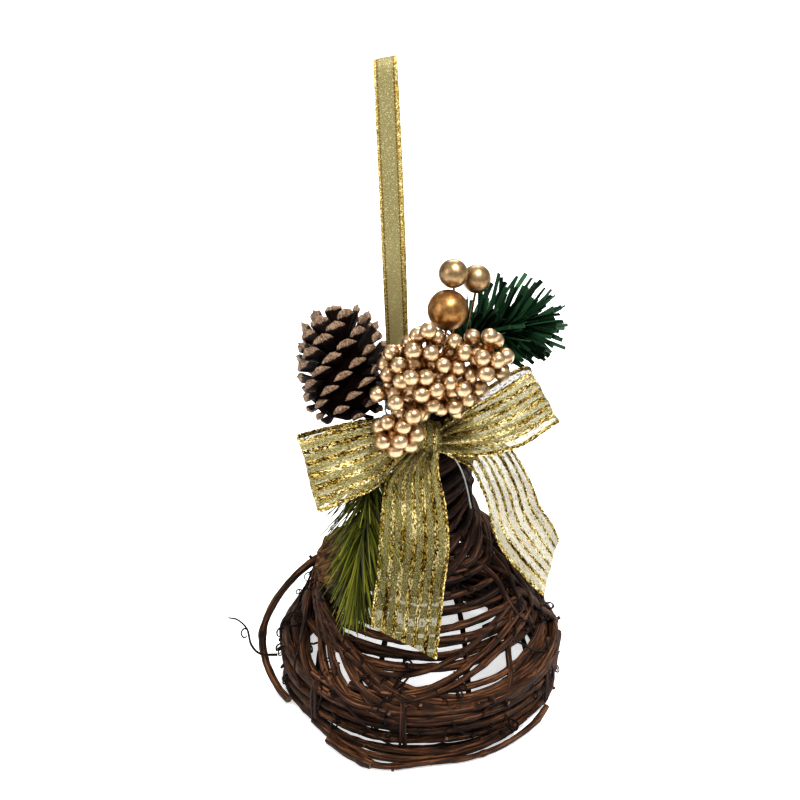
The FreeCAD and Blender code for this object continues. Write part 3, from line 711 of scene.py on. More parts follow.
def add_vine(builder, path, thick, rng, sides=12, tint=None):
    """A vine along a path, with a cut stub at some of its nodes."""
    radius_at, knots = knotty(thick, lengths_along(path)[-1], rng)
    shade = rng.uniform(0.0, 1.0) if tint is None else tint
    builder.tube(path, radius_at, sides, shade, 0.18, rng.uniform(0, 50), cut_ends=True)
    spacing = lengths_along(path)[-1] / (len(path) - 1)
    for knot in knots:
        if rng.random() > 0.3:
            continue
        index = min(int(knot / spacing), len(path) - 2)
        place = path[index]
        forward = (path[index + 1] - place).normalized()
        out = Vector((place.x, place.y, 0)).normalized() * rng.uniform(0.2, 1.0) + UP * rng.uniform(-0.5, 0.9)
        way = (out.normalized() + forward * rng.uniform(-1.2, 1.2)).normalized()
        reach = thick * rng.uniform(1.5, 2.5)
        stub = [place + way * reach * share for share in (0, 0.5, 0.8, 1.0)]
        builder.tube(stub, lambda along: thick * 0.45, 8, 0.1, 0.15, rng.uniform(0, 50), cut_ends=True)


def ring_nodes(prefix):
    """The names of the nodes with this prefix, in the order of their numbers."""
    return sorted(
        (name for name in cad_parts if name.startswith(prefix)), key=lambda n: int(n.split("_")[-1]),
    )


def make_ring_vine(node, material, slot, rng, wander, thick, extras):
    """One vine round the bell where its CAD ring is, and thinner ones that drift up or down from it."""
    low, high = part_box(node)
    radius = (high.x - low.x) / 2 / MM - thick
    centre_x = (high.x + low.x) / 2 / MM
    level = (high.z + low.z) / 2 / MM
    own = thick * rng.uniform(0.6, 0.88)
    drift = rng.uniform(-1.6, 1.6)
    start = rng.uniform(0, TURN)
    builder = Builder()
    path = wound_path(
        lambda s: radius + drift * (s - 0.5), lambda s: level, centre_x, start, 1.04 * TURN, rng, wander,
        own * 1.25,
    )
    add_vine(builder, path, own, rng, 14)
    for _ in range(extras):
        thin = thick * rng.uniform(0.4, 0.66)
        rise = rng.uniform(-2.6, 2.6)
        fall = rng.uniform(-3.5, 3.5)
        start = rng.uniform(0, TURN)
        sweep = rng.uniform(0.45, 0.95) * TURN * rng.choice((-1, 1))
        path = wound_path(
            lambda s: between(level + rise + fall * s, WALL) - 0.35 * thick,
            lambda s: level + rise + fall * s, centre_x, start, sweep, rng, wander * 1.2, thin * 1.25,
        )
        add_vine(builder, path, thin, rng, 10)
    return builder.finish(node + "_bark", material, slot, node)


# start angle and sweep in degrees, first and last height, share of the sweep used to come down,
# radius, how far outside the wall
FALLING_VINES = (
    (205, 130, 44, 25, 0.62, 1.7, 0.8), (212, 150, 40, 20, 0.6, 1.8, 1.2), (196, 165, 50, 24, 0.5, 1.6, 1.8),
    (224, 120, 38, 26, 0.55, 1.3, 0.4), (232, 110, 36, 22, 0.5, 1.2, 1.6), (184, 160, 46, 21, 0.66, 1.5, 0.6),
    (172, 175, 55, 22, 0.42, 1.8, 1.2), (190, 200, 50, 17, 0.34, 1.7, 1.4),
    (205, 150, 47, 23, 0.36, 1.5, 2.0),
    (160, 130, 48, 24, 0.5, 1.4, 0.6), (218, 170, 44, 12, 0.3, 1.6, 1.0), (150, 140, 58, 20, 0.6, 1.3, 2.2),
    (-28, 150, 54, 16, 0.3, 1.8, 1.4), (-16, 170, 58, 10, 0.32, 1.6, 1.8), (-6, 120, 50, 20, 0.4, 1.9, 1.2),
    (10, 160, 60, 22, 0.3, 1.5, 2.0), (40, 150, 52, 18, 0.4, 1.6, 1.0), (80, 140, 56, 14, 0.5, 1.5, 1.4),
    (120, 110, 52, 22, 0.5, 1.7, 1.0), (-34, -60, 50, 22, 0.4, 1.3, 1.6), (60, -100, 46, 20, 0.5, 1.2, 0.6),
    (-22, -100, 47, 27, 0.85, 1.5, 1.4), (-16, -125, 43, 25, 0.8, 1.4, 1.8),
    (-30, -84, 51, 33, 0.9, 1.3, 1.0),
)
# angle at the top, angle at the foot, top height, foot height, radius, how far outside the wall
STEEP_VINES = (
    (-44, -30, 70, 42, 1.2, 1.8), (-30, -20, 75, 38, 1.4, 2.2), (-20, -12, 80, 36, 1.2, 2.4),
    (-10, -4, 82, 40, 1.4, 1.8),
    (2, 6, 80, 34, 1.5, 2.2), (-36, -16, 68, 46, 1.0, 2.6), (20, 30, 82, 42, 1.4, 1.8),
    (-24, -30, 72, 46, 0.9, 2.8),
    (55, 70, 84, 46, 1.4, 1.6), (95, 110, 84, 44, 1.5, 1.6), (140, 160, 82, 46, 1.4, 1.6),
    (185, 200, 82, 48, 1.4, 1.4),
    (-6, -18, 78, 42, 0.9, 2.8), (225, 236, 76, 54, 1.3, 1.2), (10, -4, 78, 38, 1.0, 2.6),
)

# kind of vine, how much it wanders, its radius, how many thinner ones go with a pair of them
RING_VINES = {
    "rim_vine": ("vine_brown", 1.25, 2.1, (0, 1)),
    "shoulder_vine": ("vine_brown", 1.1, 1.9, (1, 1)),
    "crown_vine": ("vine_dark", 1.0, 1.8, (1, 1)),
}
STRAND_COUNT = 16
# rise of the wound strands in degrees, by height
STRAND_SLOPE = ((62, 27), (84, 29), (110, 27), (146, 22))


def make_bell(materials):
    rng = random.Random(11)
    for prefix, (kind, wander, thick, extras) in RING_VINES.items():
        for index, node in enumerate(ring_nodes(prefix)):
            make_ring_vine(node, materials[kind], kind, rng, wander, thick, extras[index % 2])


# the neck's stems: how many stand round the middle one, how far out, their radius
CORE_RING = 6
CORE_RING_RADIUS = 9.2
CORE_STEM = 4.5
# the wound strands' lower ends are tucked in by this much, over this height
STRAND_TUCK = 4.5
STRAND_TUCK_RISE = 4
STEEP_TUCK = 5.5


def make_neck(materials):
    rng = random.Random(23)
    core = Builder()
    low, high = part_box("neck_core")
    for index in range(CORE_RING + 1):
        reach = CORE_RING_RADIUS if index < CORE_RING else 0.0
        angle = TURN * index / CORE_RING
        x = NECK_X + reach * cos(angle)
        y = reach * sin(angle)
        path = smooth_values([
            (x + rng.uniform(-0.5, 0.5), y + rng.uniform(-0.5, 0.5), z)
            for z in (low.z / MM, 80, 100, 120, high.z / MM - rng.uniform(0, 2))
        ], 2.0)
        add_vine(core, path, CORE_STEM, rng, 16)
    core.finish("neck_core_stems", materials["vine_dark"], "vine_dark", "neck_core")
    wrap = Builder()
    for index in range(STRAND_COUNT):
        angle = TURN * index / STRAND_COUNT + rng.uniform(-0.1, 0.1)
        thick = rng.uniform(1.35, 1.95)
        height = rng.uniform(62, 70)
        top = rng.uniform(143.6, 145.6)
        seed = rng.uniform(0, 100)
        foot = height
        path = []
        while height < top:
            reach = between(height, WALL) + 0.4 + 0.7 * noise.noise(Vector((angle * 1.5, seed, 0)))
            reach -= STRAND_TUCK * (1 - ease((height - foot) / STRAND_TUCK_RISE))
            path.append(Vector((NECK_X + reach * cos(angle), reach * sin(angle), height)))
            slope = radians(between(height, STRAND_SLOPE))
            angle += 1.1 * cos(slope) / reach
            height += 1.1 * sin(slope)
        add_vine(wrap, path, thick, rng, 10)
    for angle_top, angle_foot, top, foot, thick, offset in STEEP_VINES:
        rows = []
        for share in (0, 0.25, 0.5, 0.75, 1.0):
            height = top + (foot - top) * share
            angle = radians(angle_top + (angle_foot - angle_top) * share + rng.uniform(-5, 5))
            tuck = STEEP_TUCK * (1 - ease(share / 0.25))
            reach = between(height, WALL) + offset + rng.uniform(-0.8, 1.4) - tuck
            shift = between(height, ((36, 0.0), (80, NECK_X)))
            rows.append((shift + reach * cos(angle), reach * sin(angle), height))
        add_vine(wrap, smooth_values(rows, 1.2), thick, rng, 10)
    wrap.finish("neck_wrap_vines", materials["vine_dark"], "vine_dark", "neck_wrap")


# distance from the axis and height along a rib, and round the rim bundle along a lashing
RIB_PATH = ((18.0, 76.0), (30, 63.0), (37.0, 52.0), (42.0, 38.0), (48.8, 22.0), (49.8, 1.6))
LASHING_PATH = (
    (62.6, 6.0), (62.9, 14.0), (62.2, 22.0), (57.0, 27.0), (52.0, 24.0), (51.4, 14.0), (51.6, 5.0),
)
LASHING_ANGLES = (-97, -30, 48, 112, 176, 224)
LASHING_TURNS = (-1.5, -0.2, 1.1)
TWINE = 0.55
RIBS = 8
RIB_RADIUS = 1.15


def make_frame(materials):
    rng = random.Random(31)
    ribs = Builder()
    for index in range(RIBS):
        angle = radians(22.5 + 45 * index)
        rows = [
            (1.2 + (r + rng.uniform(-0.6, 0.6)) * cos(angle + rng.uniform(-0.03, 0.03)),
             (r + rng.uniform(-0.6, 0.6)) * sin(angle), z)
            for r, z in RIB_PATH
        ]
        add_vine(ribs, smooth_values(rows, 1.5), RIB_RADIUS, rng, 8, 0.1)
    for start, sweep, top, foot, share_down, thick, offset in FALLING_VINES:
        def height_of(share, top=top, foot=foot, share_down=share_down):
            return top + (foot - top) * ease(share / share_down)

        def radius_of(share, offset=offset, height_of=height_of):
            return between(height_of(share), WALL) + offset

        path = wound_path(radius_of, height_of, 0.4, radians(start), radians(sweep), rng, 0.8, thick * 1.3)
        add_vine(ribs, path, thick, rng, 12)
    ribs.finish("frame_ribs_bark", materials["vine_brown"], "vine_brown", "frame_ribs")
    twine = Builder()
    for angle in LASHING_ANGLES:
        for shift in LASHING_TURNS:
            turn = radians(angle)
            across = Vector((-sin(turn), cos(turn), 0))
            rows = [
                polar(turn, r, z) + across * (shift + rng.uniform(-0.5, 0.5))
                for r, z in LASHING_PATH
            ]
            twine.tube(smooth_values(rows, 0.9), lambda along: TWINE, 8, 0.3, 0.25, rng.uniform(0, 50))
    twine.finish("rim_lashings_twine", materials["twine"], "twine", "rim_lashings")


FRONT_VINES = (
    (
        (-46, -40, 2.4), (-36, -52, 2.2), (-22, -62.4, 2.2), (-4, -65.8, 2.2), (14, -62.8, 2.4),
        (32, -53, 3.2), (44, -41, 4.2),
    ),
    (
        (-50, -33, 4.4), (-37, -48.4, 4.0), (-20, -59.6, 3.6), (0, -63.4, 3.6), (20, -59.4, 4.2),
        (38, -47, 5.0),
    ),
)
# radius and path of each
LOOSE_VINES = {
    "stray_vine_left": (1.6, (
        (-34, 3, 60), (-43, 5, 56.5), (-52, 4.5, 50), (-60, 2, 42), (-67.0, 0, 31), (-70.4, -3, 20),
        (-68.5, -9, 9.5), (-63.0, -18, 3.2), (-57.5, -26.5, 2.6),
    )),
    "cut_stick": (1.8, ((-39.2, -53.5, 2.6), (-30.8, -61.6, 2.4), (-20.5, -68.8, 2.4))),
    "low_vine": (1.3, (
        (-25, -66.6, 2.0), (-14, -69.6, 1.8), (1, -67.4, 1.8), (20, -63.8, 1.8), (36, -54.4, 1.8),
        (47.5, -42.5, 1.9), (54.5, -31.5, 2.8),
    )),
    "cross_vine": (1.6, (
        (-5, -54.8, 28.6), (18, -52.4, 28.8), (36, -42.4, 29.6), (48.6, -22, 30.2), (53.6, 0, 30.2),
        (50.0, 21.0, 30.0),
    )),
}
TENDRIL_PATH = (
    (-63.4, -9.5, 14.2), (-70.8, -10, 15), (-75, -8, 18.5), (-77, -4, 24), (-81, -3, 28.2), (-85.2, -3, 29.4),
)
TENDRIL_HOOK = (
    (-77, -4, 24), (-78.4, -5, 24.8), (-79.4, -6.4, 23.4), (-78.2, -7.4, 21.8), (-76.8, -7.2, 22.4),
)


def make_loose_vines(materials):
    rng = random.Random(37)
    for node, (thick, rows) in LOOSE_VINES.items():
        builder = Builder()
        add_vine(builder, smooth_values(rows, 1.0), thick, rng, 12, 0.6)
        if node == "cross_vine":
            lower = [(x * 1.02, y * 1.03, z - 4.4 + 0.05 * x) for x, y, z in rows]
            add_vine(builder, smooth_values(lower, 1.0), 1.2, rng, 10, 0.7)
        if node == "low_vine":
            for more in FRONT_VINES:
                add_vine(builder, smooth_values(more, 1.0), 1.5, rng, 10, rng.uniform(0.2, 0.7))
        builder.finish(node + "_bark", materials["vine_brown"], "vine_brown", node)
    builder = Builder()
    path = smooth_values(TENDRIL_PATH, 0.8)
    length = lengths_along(path)[-1]
    builder.tube(path, lambda along: 0.62 - 0.3 * along / length, 8, 0.4, 0.2, 3.0)
    builder.tube(smooth_values(TENDRIL_HOOK, 0.6), lambda along: 0.36, 6, 0.4, 0.2, 4.0)
    builder.finish("long_tendril_dry", materials["tendril"], "tendril", "long_tendril")


def add_curl(builder, rng, angle, height):
    """A tendril that leaves the wall, rolls up and ends in its own coil."""
    reach = between(height, WALL) + 1.0
    out_way = polar(angle)
    along_way = Vector((-sin(angle), cos(angle), 0)) * rng.choice((-1, 1))
    plane = (along_way * rng.uniform(0.3, 1.0) + out_way * rng.uniform(0.2, 0.9)).normalized()
    rise = (UP * rng.choice((-1, 1, 1)) + out_way * rng.uniform(0.0, 0.5)).normalized()
    drift = plane.cross(rise).normalized() * rng.uniform(0.2, 0.9)
    radius = CURL_SIZE * rng.uniform(0.55, 1.1)
    start = out_way * reach + UP * height
    turns = rng.uniform(0.8, 1.9)
    path = [start - out_way * 2.0, start]
    count = int(12 * turns)
    for index in range(1, count + 1):
        share = index / count
        spin = share * turns * TURN
        roll = radius * (1 - 0.55 * share)
        place = start + plane * (radius + 0.8 - roll * cos(spin))
        place = place + rise * roll * sin(spin) + drift * share * 2
        place.z = max(place.z, 0.6)
        flat = Vector((place.x, place.y, 0))
        if flat.length > CURL_LIMIT:
            place -= flat.normalized() * (flat.length - CURL_LIMIT)
        path.append(place)
    thick = rng.uniform(0.28, 0.5)
    path = smooth_values(path, 0.5)
    length = lengths_along(path)[-1]
    builder.tube(
        path, lambda along: thick * (1.15 - 0.5 * along / length), 6, rng.uniform(0, 0.6), 0.2,
        rng.uniform(0, 50),
    )


# first angle, last angle, lowest and highest start, how many curls
CURL_FIELDS = (
    (-50, 25, 30, 60, 26), (150, 215, 8, 56, 20), (-70, 20, 4, 26, 18), (215, 300, 6, 34, 22),
    (20, 150, 8, 60, 26), (-60, -10, 58, 84, 12), (225, 265, 28, 40, 9),
)
# thin strands that lie on the wall: angle, height, angle, height
WALL_STRANDS = (
    (196, 44, 214, 16), (225, 30, 228, 12), (-50, 44, -12, 18), (-22, 30, -30, 6), (240, 20, 262, 4),
    (-15, 52, 6, 26),
    (262, 34, 250, 20), (-96, 36, -108, 22), (170, 50, 186, 28), (60, 50, 84, 20), (110, 44, 96, 14),
    (-80, 18, -66, 5),
)
# a curl beside the neck, under the bow
NECK_CURL = (
    (17.5, -16.5, 112), (19.5, -15.4, 108.5), (21.4, -14, 105), (20.2, -15.4, 103),
    (18.8, -16.2, 105.2), (20.4, -14.8, 99), (21.4, -12.4, 92), (22.6, -10.4, 88),
)


def make_tendrils(materials):
    rng = random.Random(41)
    builder = Builder()
    for first, last, low, high, count in CURL_FIELDS:
        for _ in range(count):
            add_curl(builder, rng, radians(rng.uniform(first, last)), rng.uniform(low, high))
    for first, top, last, foot in WALL_STRANDS:
        rows = []
        for share in (0, 0.25, 0.5, 0.75, 1.0):
            angle = radians(first + (last - first) * share + rng.uniform(-2, 2))
            height = top + (foot - top) * share
            reach = between(height, WALL) + 3.2 + rng.uniform(-0.6, 0.8)
            rows.append(polar(angle, reach, height))
        builder.tube(smooth_values(rows, 1.0), lambda along: 0.42, 6, 0.3, 0.25, rng.uniform(0, 50))
    builder.tube(smooth_values(NECK_CURL, 0.6), lambda along: 0.4, 6, 0.2, 0.2, 9.0)
    builder.finish("curly_tendrils_dry", materials["tendril"], "tendril", "curly_tendrils")


# ---- ribbons
def ribbon_rows(stations, step):
    """Centre, share of the width and direction across, smoothly along a ribbon."""
    rows = smooth_values(
        [(*centre, share * 10, *(Vector(across).normalized() * 10)) for centre, share, across in stations],
        step,
    )
    return [(Vector(row[:3]), row[3] / 10, Vector(row[4:7]).normalized()) for row in rows]


def add_ribbon(
    builder, stations, width, pleats, gather, rng, columns=40, step=0.8, cup=0.0, edge=0.0, ripple=0.5,
    thickness=0.14, painted_shade=0.0,
):
    """A woven strip, gathered where it is narrower than its cloth, with a corded edge."""
    rows = ribbon_rows(stations, step)
    seed = rng.uniform(0, 100)
    phase = rng.uniform(0, TURN)
    centres = [row[0] for row in rows]
    lengths = lengths_along(centres)
    grid = []
    count = len(rows)
    for index, (centre, share, across) in enumerate(rows):
        along = lengths[index]
        out = across.cross(heading(centres, index)).normalized()
        spare = sqrt(max(0.0, 1 - min(share, 1.0) ** 2))
        depth = gather(index / (count - 1)) * width * spare / (4 * pleats)
        line = []
        for column in range(columns + 1):
            s = -1 + 2 * column / columns
            fold = depth * sin(pi * pleats * (s + 1) + phase)
            wave = ripple * noise.noise(Vector((along * 0.07, s * 1.1, seed)))
            wave += cup * (s * s - 0.4)
            place = centre + across * (width * share / 2 * s) + out * (fold + wave)
            line.append((place, out, (along, s * width / 2, 0.0)))
        grid.append(line)
    sides = columns + 1
    for sign in (-1, 1):
        base = len(builder.points)
        for line in grid:
            for place, out, grain in line:
                # painted shade: from 22 mm along, the tint falls by the given amount and darkens the cloth; a
                # negative amount raises it and makes the cloth pale
                builder.point(
                    place + out * (sign * thickness / 2), grain, 0.5 - painted_shade * ease((grain[0] - 22) / 30),
                )
        for row in range(count - 1):
            for column in range(columns):
                a = base + row * sides + column
                corners = (a, a + 1, a + 1 + sides, a + sides)
                builder.face(*corners[::sign])
    if edge:
        builder.slot = 1
        for column in (0, columns):
            path = [line[column][0] for line in grid]
            builder.tube(path, lambda along: edge * (1 + 0.35 * sin(along * 5.2)), 7, 0.5, 0.1, seed + column)
        builder.slot = 0
    return along


BOW_WIDTH = 31.0
# centre, share of the width, direction across
BOW_PIECES = {
    "bow_loop_left": (
        ((-5.4, -27.6, 131), 0.3, (-0.1, 0, 1)),
        ((-17.5, -35, 128.4), 0.84, (-0.14, 0, 0.99)),
        ((-31, -43, 126.8), 1.0, (-0.18, -0.03, 0.98)),
        ((-42, -49.3, 125.8), 1.06, (-0.21, -0.06, 0.975)),
        ((-44.6, -47.2, 125.7), 1.06, (-0.21, -0.06, 0.975)),
        ((-42, -43.5, 125.8), 1.05, (-0.21, -0.05, 0.975)),
        ((-30, -36.5, 127), 0.95, (-0.18, -0.03, 0.98)),
        ((-17.5, -30, 128.6), 0.78, (-0.14, 0, 0.99)),
        ((-5.6, -25.2, 131), 0.3, (-0.1, 0, 1)),
    ),
    "bow_loop_right": (
        ((7.6, -27.6, 131), 0.3, (0.1, 0, 1)),
        ((21, -34, 137), 0.72, (-0.32, -0.1, 0.95)),
        ((34, -36.4, 143.6), 0.88, (-0.42, -0.2, 0.9)),
        ((45.2, -32.6, 149.6), 0.95, (-0.44, -0.28, 0.86)),
        ((47.6, -29.6, 150.2), 0.95, (-0.44, -0.28, 0.86)),
        ((45, -26.6, 150.2), 0.95, (-0.44, -0.28, 0.86)),
        ((34, -28, 145), 0.86, (-0.42, -0.2, 0.9)),
        ((21, -27.6, 138), 0.66, (-0.32, -0.1, 0.95)),
        ((7.6, -25.4, 131.2), 0.3, (0.1, 0, 1)),
    ),
    "bow_tail_center": (
        ((1, -28.3, 125.6), 0.34, (1, 0, 0.05)),
        ((-3.6, -31.5, 116.5), 0.64, (1, 0, 0.1)),
        ((-3.4, -34, 103), 0.82, (1, 0, 0)),
        ((-3.4, -37.5, 86), 0.9, (1, 0, 0)),
        ((-5.2, -43.5, 69), 0.88, (1, -0.05, -0.1)),
        ((-7.6, -52, 50.2), 0.94, (26.3, -4, -12.8)),
    ),
    "bow_tail_right": (
        ((7.6, -24.2, 129.4), 0.24, (3, 0, 9)),
        ((17.5, -23.2, 126.4), 0.44, (8, 0, 11)),
        ((27, -23.4, 121.5), 0.56, (13.4, 0, 10)),
        ((34.9, -24, 106), 0.64, (15.8, 0, 10.5)),
        ((40.4, -24.6, 89.3), 0.74, (17.2, 0, 13.4)),
        ((54.2, -24, 68.6), 0.88, (4.7, 0, 26.4)),
    ),
}
# pleats, how deep they stay at the far end, hollow, ripple, how much painted shade darkens the cloth along it
# (or, below 0, how pale it turns)
BOW_FOLDS = {
    "bow_loop_left": (3.0, 0.15, 0.0, 0.9, 0.0),
    "bow_loop_right": (3.0, 0.2, 0.0, 0.9, 0.0),
    "bow_tail_center": (2.5, 0.25, -1.4, 1.4, 0.3),
    "bow_tail_right": (2.0, 0.35, -1.0, 1.0, -0.5),
}
KNOT_CENTRE = Vector((1, -25.4, 130.8))


def make_bow(materials):
    rng = random.Random(53)
    for node, stations in BOW_PIECES.items():
        pleats, far, cup, ripple, painted_shade = BOW_FOLDS[node]
        looped = "loop" in node

        def gather(share, far=far, looped=looped):
            near = 2 * min(share, 1 - share) if looped else share
            return far + (1 - far) * (1 - ease(near / 0.6))

        builder = Builder()
        length = add_ribbon(
            builder, stations, BOW_WIDTH, pleats, gather, rng, cup=cup, edge=0.42, ripple=ripple, painted_shade=painted_shade,
        )
        ribbon = builder.finish(
            node + "_ribbon", (materials["bow"], materials["bow_edge"]), "bow_ribbon", node,
        )
    knot = Builder()
    columns = 30
    around = 48
    for column in range(columns + 1):
        s = -1 + 2 * column / columns
        puff = 1 - 0.42 * s ** 6
        for step in range(around + 1):
            angle = TURN * step / around
            fold = 1 + 0.07 * sin(7.5 * s + 0.8 * sin(angle))
            fold += 0.03 * noise.noise(Vector((s * 3, cos(angle) * 2, sin(angle) * 2)))
            y = 4.9 * puff * fold * cos(angle)
            z = 6.6 * puff * fold * sin(angle)
            knot.point(KNOT_CENTRE + Vector((s * 6.9, y, z)), (angle * 6, s * 9, 0))
    for column in range(columns):
        for step in range(around):
            a = column * (around + 1) + step
            knot.face(a, a + around + 1, a + around + 2, a + 1)
    ribbon = knot.finish("bow_knot_ribbon", materials["bow"], "bow_ribbon", "bow_knot")


HANGER_WIDTH = 8.8
HANGER_FOOT = Vector((-9.8, 0, 149.4))
HANGER_TOP = Vector((-14.6, 0, 275.2))
HANGER_GAP = 4.0
# share of the height, share of the gap, from the foot up the front ply
HANGER_PLY = (
    (0.0, 0.0), (0.006, -0.13), (0.05, -0.32), (0.16, -0.55), (0.4, -0.86), (0.7, -1.0), (0.88, -0.98),
    (0.965, -0.7),
)


def make_hanger(materials):
    rng = random.Random(59)
    rise_way = HANGER_TOP - HANGER_FOOT

    def station(rise, shift):
        twist = 0.038 + 0.14 * ease((rise - 0.8) / 0.2)
        return (HANGER_FOOT + rise_way * rise + Vector(shift), 1.0, (1, 0, twist))

    stations = [station(rise, (0, side * HANGER_GAP, 0)) for rise, side in HANGER_PLY]
    stations.append((HANGER_FOOT + rise_way * 0.998, 1.0, (1, 0.02, 0.2)))
    stations += [
        station(rise, (0.7 * sin(rise * 3), -side * HANGER_GAP, 0)) for rise, side in reversed(HANGER_PLY)
    ]
    builder = Builder()
    length = add_ribbon(
        builder, stations, HANGER_WIDTH, 1.0, lambda share: 0.0, rng, columns=16, cup=0.12, ripple=0.5,
        thickness=0.3,
    )
    loop = builder.finish(
        "hanger_loop_ribbon", materials["hanger"], "hanger_ribbon", "hanger_loop", body=None,
    )
    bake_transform(loop)
    knot = Builder()
    low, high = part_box("hanger_knot")
    centre = (low + high) / 2 / MM
    half = (high - low) / 2 / MM
    around = 32
    rings = 14
    for ring in range(rings + 1):
        s = -1 + 2 * ring / rings
        reach = sqrt(max(0.02, 1 - s ** 6))
        for step in range(around):
            angle = TURN * step / around
            fold = 1 + 0.12 * sin(5 * angle + 2 * s) + 0.08 * sin(3 * angle + 4 * s)
            y = 1.3 * half.y * reach * fold * cos(angle)
            z = half.z * reach * fold * sin(angle)
            knot.point(centre + Vector((half.x * s, y, z)), (angle * 2, s * 4, 0))
    knot.skin(0, rings + 1, around)
    knot.finish("hanger_knot_ribbon", materials["hanger"], "hanger_ribbon", "hanger_knot")


# ---- wires
def add_twisted(builder, path, thick, pitch=3.0):
    """Two wires twisted round each other along a path."""
    for half_turn in (0.0, pi):
        twisted = []
        for place, along, (side, up) in zip(path, lengths_along(path), carried_frames(path)):
            spin = TURN * along / pitch + half_turn
            twisted.append(place + (side * cos(spin) + up * sin(spin)) * thick * 0.55)
        builder.tube(twisted, lambda along: thick * 0.55, 6)


def ring_path(centre, radius, lean=0.0, towards=0.0, gap=0.12, count=110):
    """A ring about +Z that leans, as the torus does in the CAD, almost closed."""
    axis = Vector((sin(towards), -cos(towards), 0))
    turn = Quaternion(axis, lean)
    return [
        centre + turn @ (polar(a) * radius)
        for a in (gap + (TURN - gap) * index / count + pi / 2 for index in range(count + 1))
    ]


# centre, radius, lean and the direction it leans in
WIRE_RINGS = {
    "bow_wire": ((NECK_X, 0, 131), 18.2, 0.0, 0.0),
    "pick_wire": ((NECK_X, 0, 140.4), 18.4, radians(10), radians(20)),
    "hanger_tie": ((-9.8, 0, 147.2), 5.25, 0.0, 0.0),
}
BALL_STEMS = (
    ((6.0, -8.5, 146.3), (7.6, -13.5, 160), (9.2, -17.0, 173.6)),
    ((10.5, -6, 146.3), (12.8, -5.2, 172), (11.9, -11.2, 189.6)),
    ((12.5, -2, 146.3), (18.2, -3.4, 168), (20.7, -6.6, 184.7)),
)
BALL_STEM = 0.48
PINECONE_WIRE = ((-29.6, -24.0, 135.0), (-24.0, -23.5, 128.5), (-15.8, -14.0, 127.5))
THREAD_ROUTE = ((9, -19.4, 124), (14.6, -16.2, 115), (19.2, -11, 100), (21.6, -6, 83))


def make_wires(materials):
    for node, (centre, radius, lean, towards) in WIRE_RINGS.items():
        builder = Builder()
        add_twisted(builder, ring_path(Vector(centre), radius, lean, towards), 0.45)
        builder.finish(node + "_twist", materials["wire"], "tie_wire", node)
    builder = Builder()
    for rows in BALL_STEMS:
        builder.tube(smooth_values(rows, 0.8), lambda along: BALL_STEM, 8, 0.5, 0.06, 5.0)
    builder.finish("ball_stems_wire", materials["copper"], "copper_wire", "ball_stems")
    builder = Builder()
    add_twisted(builder, smooth_values(PINECONE_WIRE, 0.5), 0.6)
    builder.finish("pinecone_wire_twist", materials["wire"], "tie_wire", "pinecone_wire")
    data = bpy.data.curves.new("neck_thread_line", "CURVE")
    data.dimensions = "3D"
    data.bevel_depth = 0.33 * MM
    data.bevel_resolution = 3
    data.resolution_u = 12
    spline = data.splines.new("NURBS")
    spline.points.add(len(THREAD_ROUTE) - 1)
    for spot, row in zip(spline.points, THREAD_ROUTE):
        spot.co = (*(value * MM for value in row), 1.0)
    spline.order_u = 3
    spline.use_endpoint_u = True
    data.materials.append(materials["thread"])
    thread = add_object("neck_thread_line", data)
    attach(thread, "bell")
    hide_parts("neck_thread")


# ---- balls and berries
# radius, centre, material, slot
BALLS = {
    "ball_large": (8.0, (9.6, -18, 181.7), "bronze", "ball_bronze"),
    "ball_small_left": (5.7, (11.6, -13.4, 195.0), "gold", "ball_gold"),
    "ball_small_right": (5.7, (21.0, -7.4, 190.6), "gold", "ball_gold"),
}
CONE_CENTRE = Vector((-31.6, -14.6, 157.4))
CONE_TURN = Quaternion((0, 1, 0), radians(-6)) @ Quaternion((1, 0, 0), radians(-25))
# the pinecone keeps the berries out of this distance from its axis and half height
CONE_KEEP = (18, 23)
BERRY = 3.4
# room round a berry: those that fill in between may sink into their neighbours
BERRY_ROOM = 0.12
BERRY_SINK = -0.9
# centre, radii, berries on the outside, the way it faces, foot of its stem, berries in between
CLUSTERS = {
    "main": (
        Vector((-1, -30, 160)), Vector((13.6, 13.5, 16.8)), 38, Vector((-0.05, -0.95, 0.25)),
        Vector((-1.5, -19.0, 146.5)), 96,
    ),
    "right": (
        Vector((23.4, -29, 166)), Vector((8.2, 8.6, 10.6)), 20, Vector((0.35, -0.85, 0.3)),
        Vector((5.5, -18.6, 146.5)), 26,
    ),
    "lower": (
        Vector((-9.6, -38.5, 140.5)), Vector((7.6, 7.2, 8.6)), 16, Vector((-0.2, -0.9, -0.3)),
        Vector((-5.0, -18.9, 146.8)), 6,
    ),
}
# berries of the main cluster under the balls and in front, which step forward until they have room
MORE_BERRIES = (
    (1.7, -28, 177), (6.9, -27.5, 175.6), (11.6, -28, 172.6), (8.8, -33, 169.4), (15.4, -30.5, 169.2),
    (18.8, -27, 174), (-17.6, -36.5, 154.4), (4.4, -26, 170.5), (12.8, -26, 166.0), (3.6, -34, 166.5),
    (-5.0, -40, 163.0), (-1.0, -41, 157.0), (6.0, -38, 150.5), (13.5, -35, 157.0), (18.0, -33, 160.5),
    (22.0, -33, 155.0),
    (-9.5, -39, 167.5), (-13.0, -37, 161.0), (-10.5, -41, 153.0), (-4.0, -42, 148.0),
)
# the berries that join the main cluster to the right one
BRIDGE_CENTRE = Vector((12.0, -29.0, 158.0))
BRIDGE_RADII = Vector((13.0, 8.5, 14.0))
BERRY_WIRE = 0.75
CLUSTER_STEM = 1.1


def make_balls(materials):
    for node, (radius, centre, kind, slot) in BALLS.items():
        builder = Builder()
        builder.bead(Vector(centre), radius, Vector((0.1, -0.35, 1)).normalized(), 36, 48, 0.05, 0.012)
        builder.finish(node + "_bead", materials[kind], slot, node)


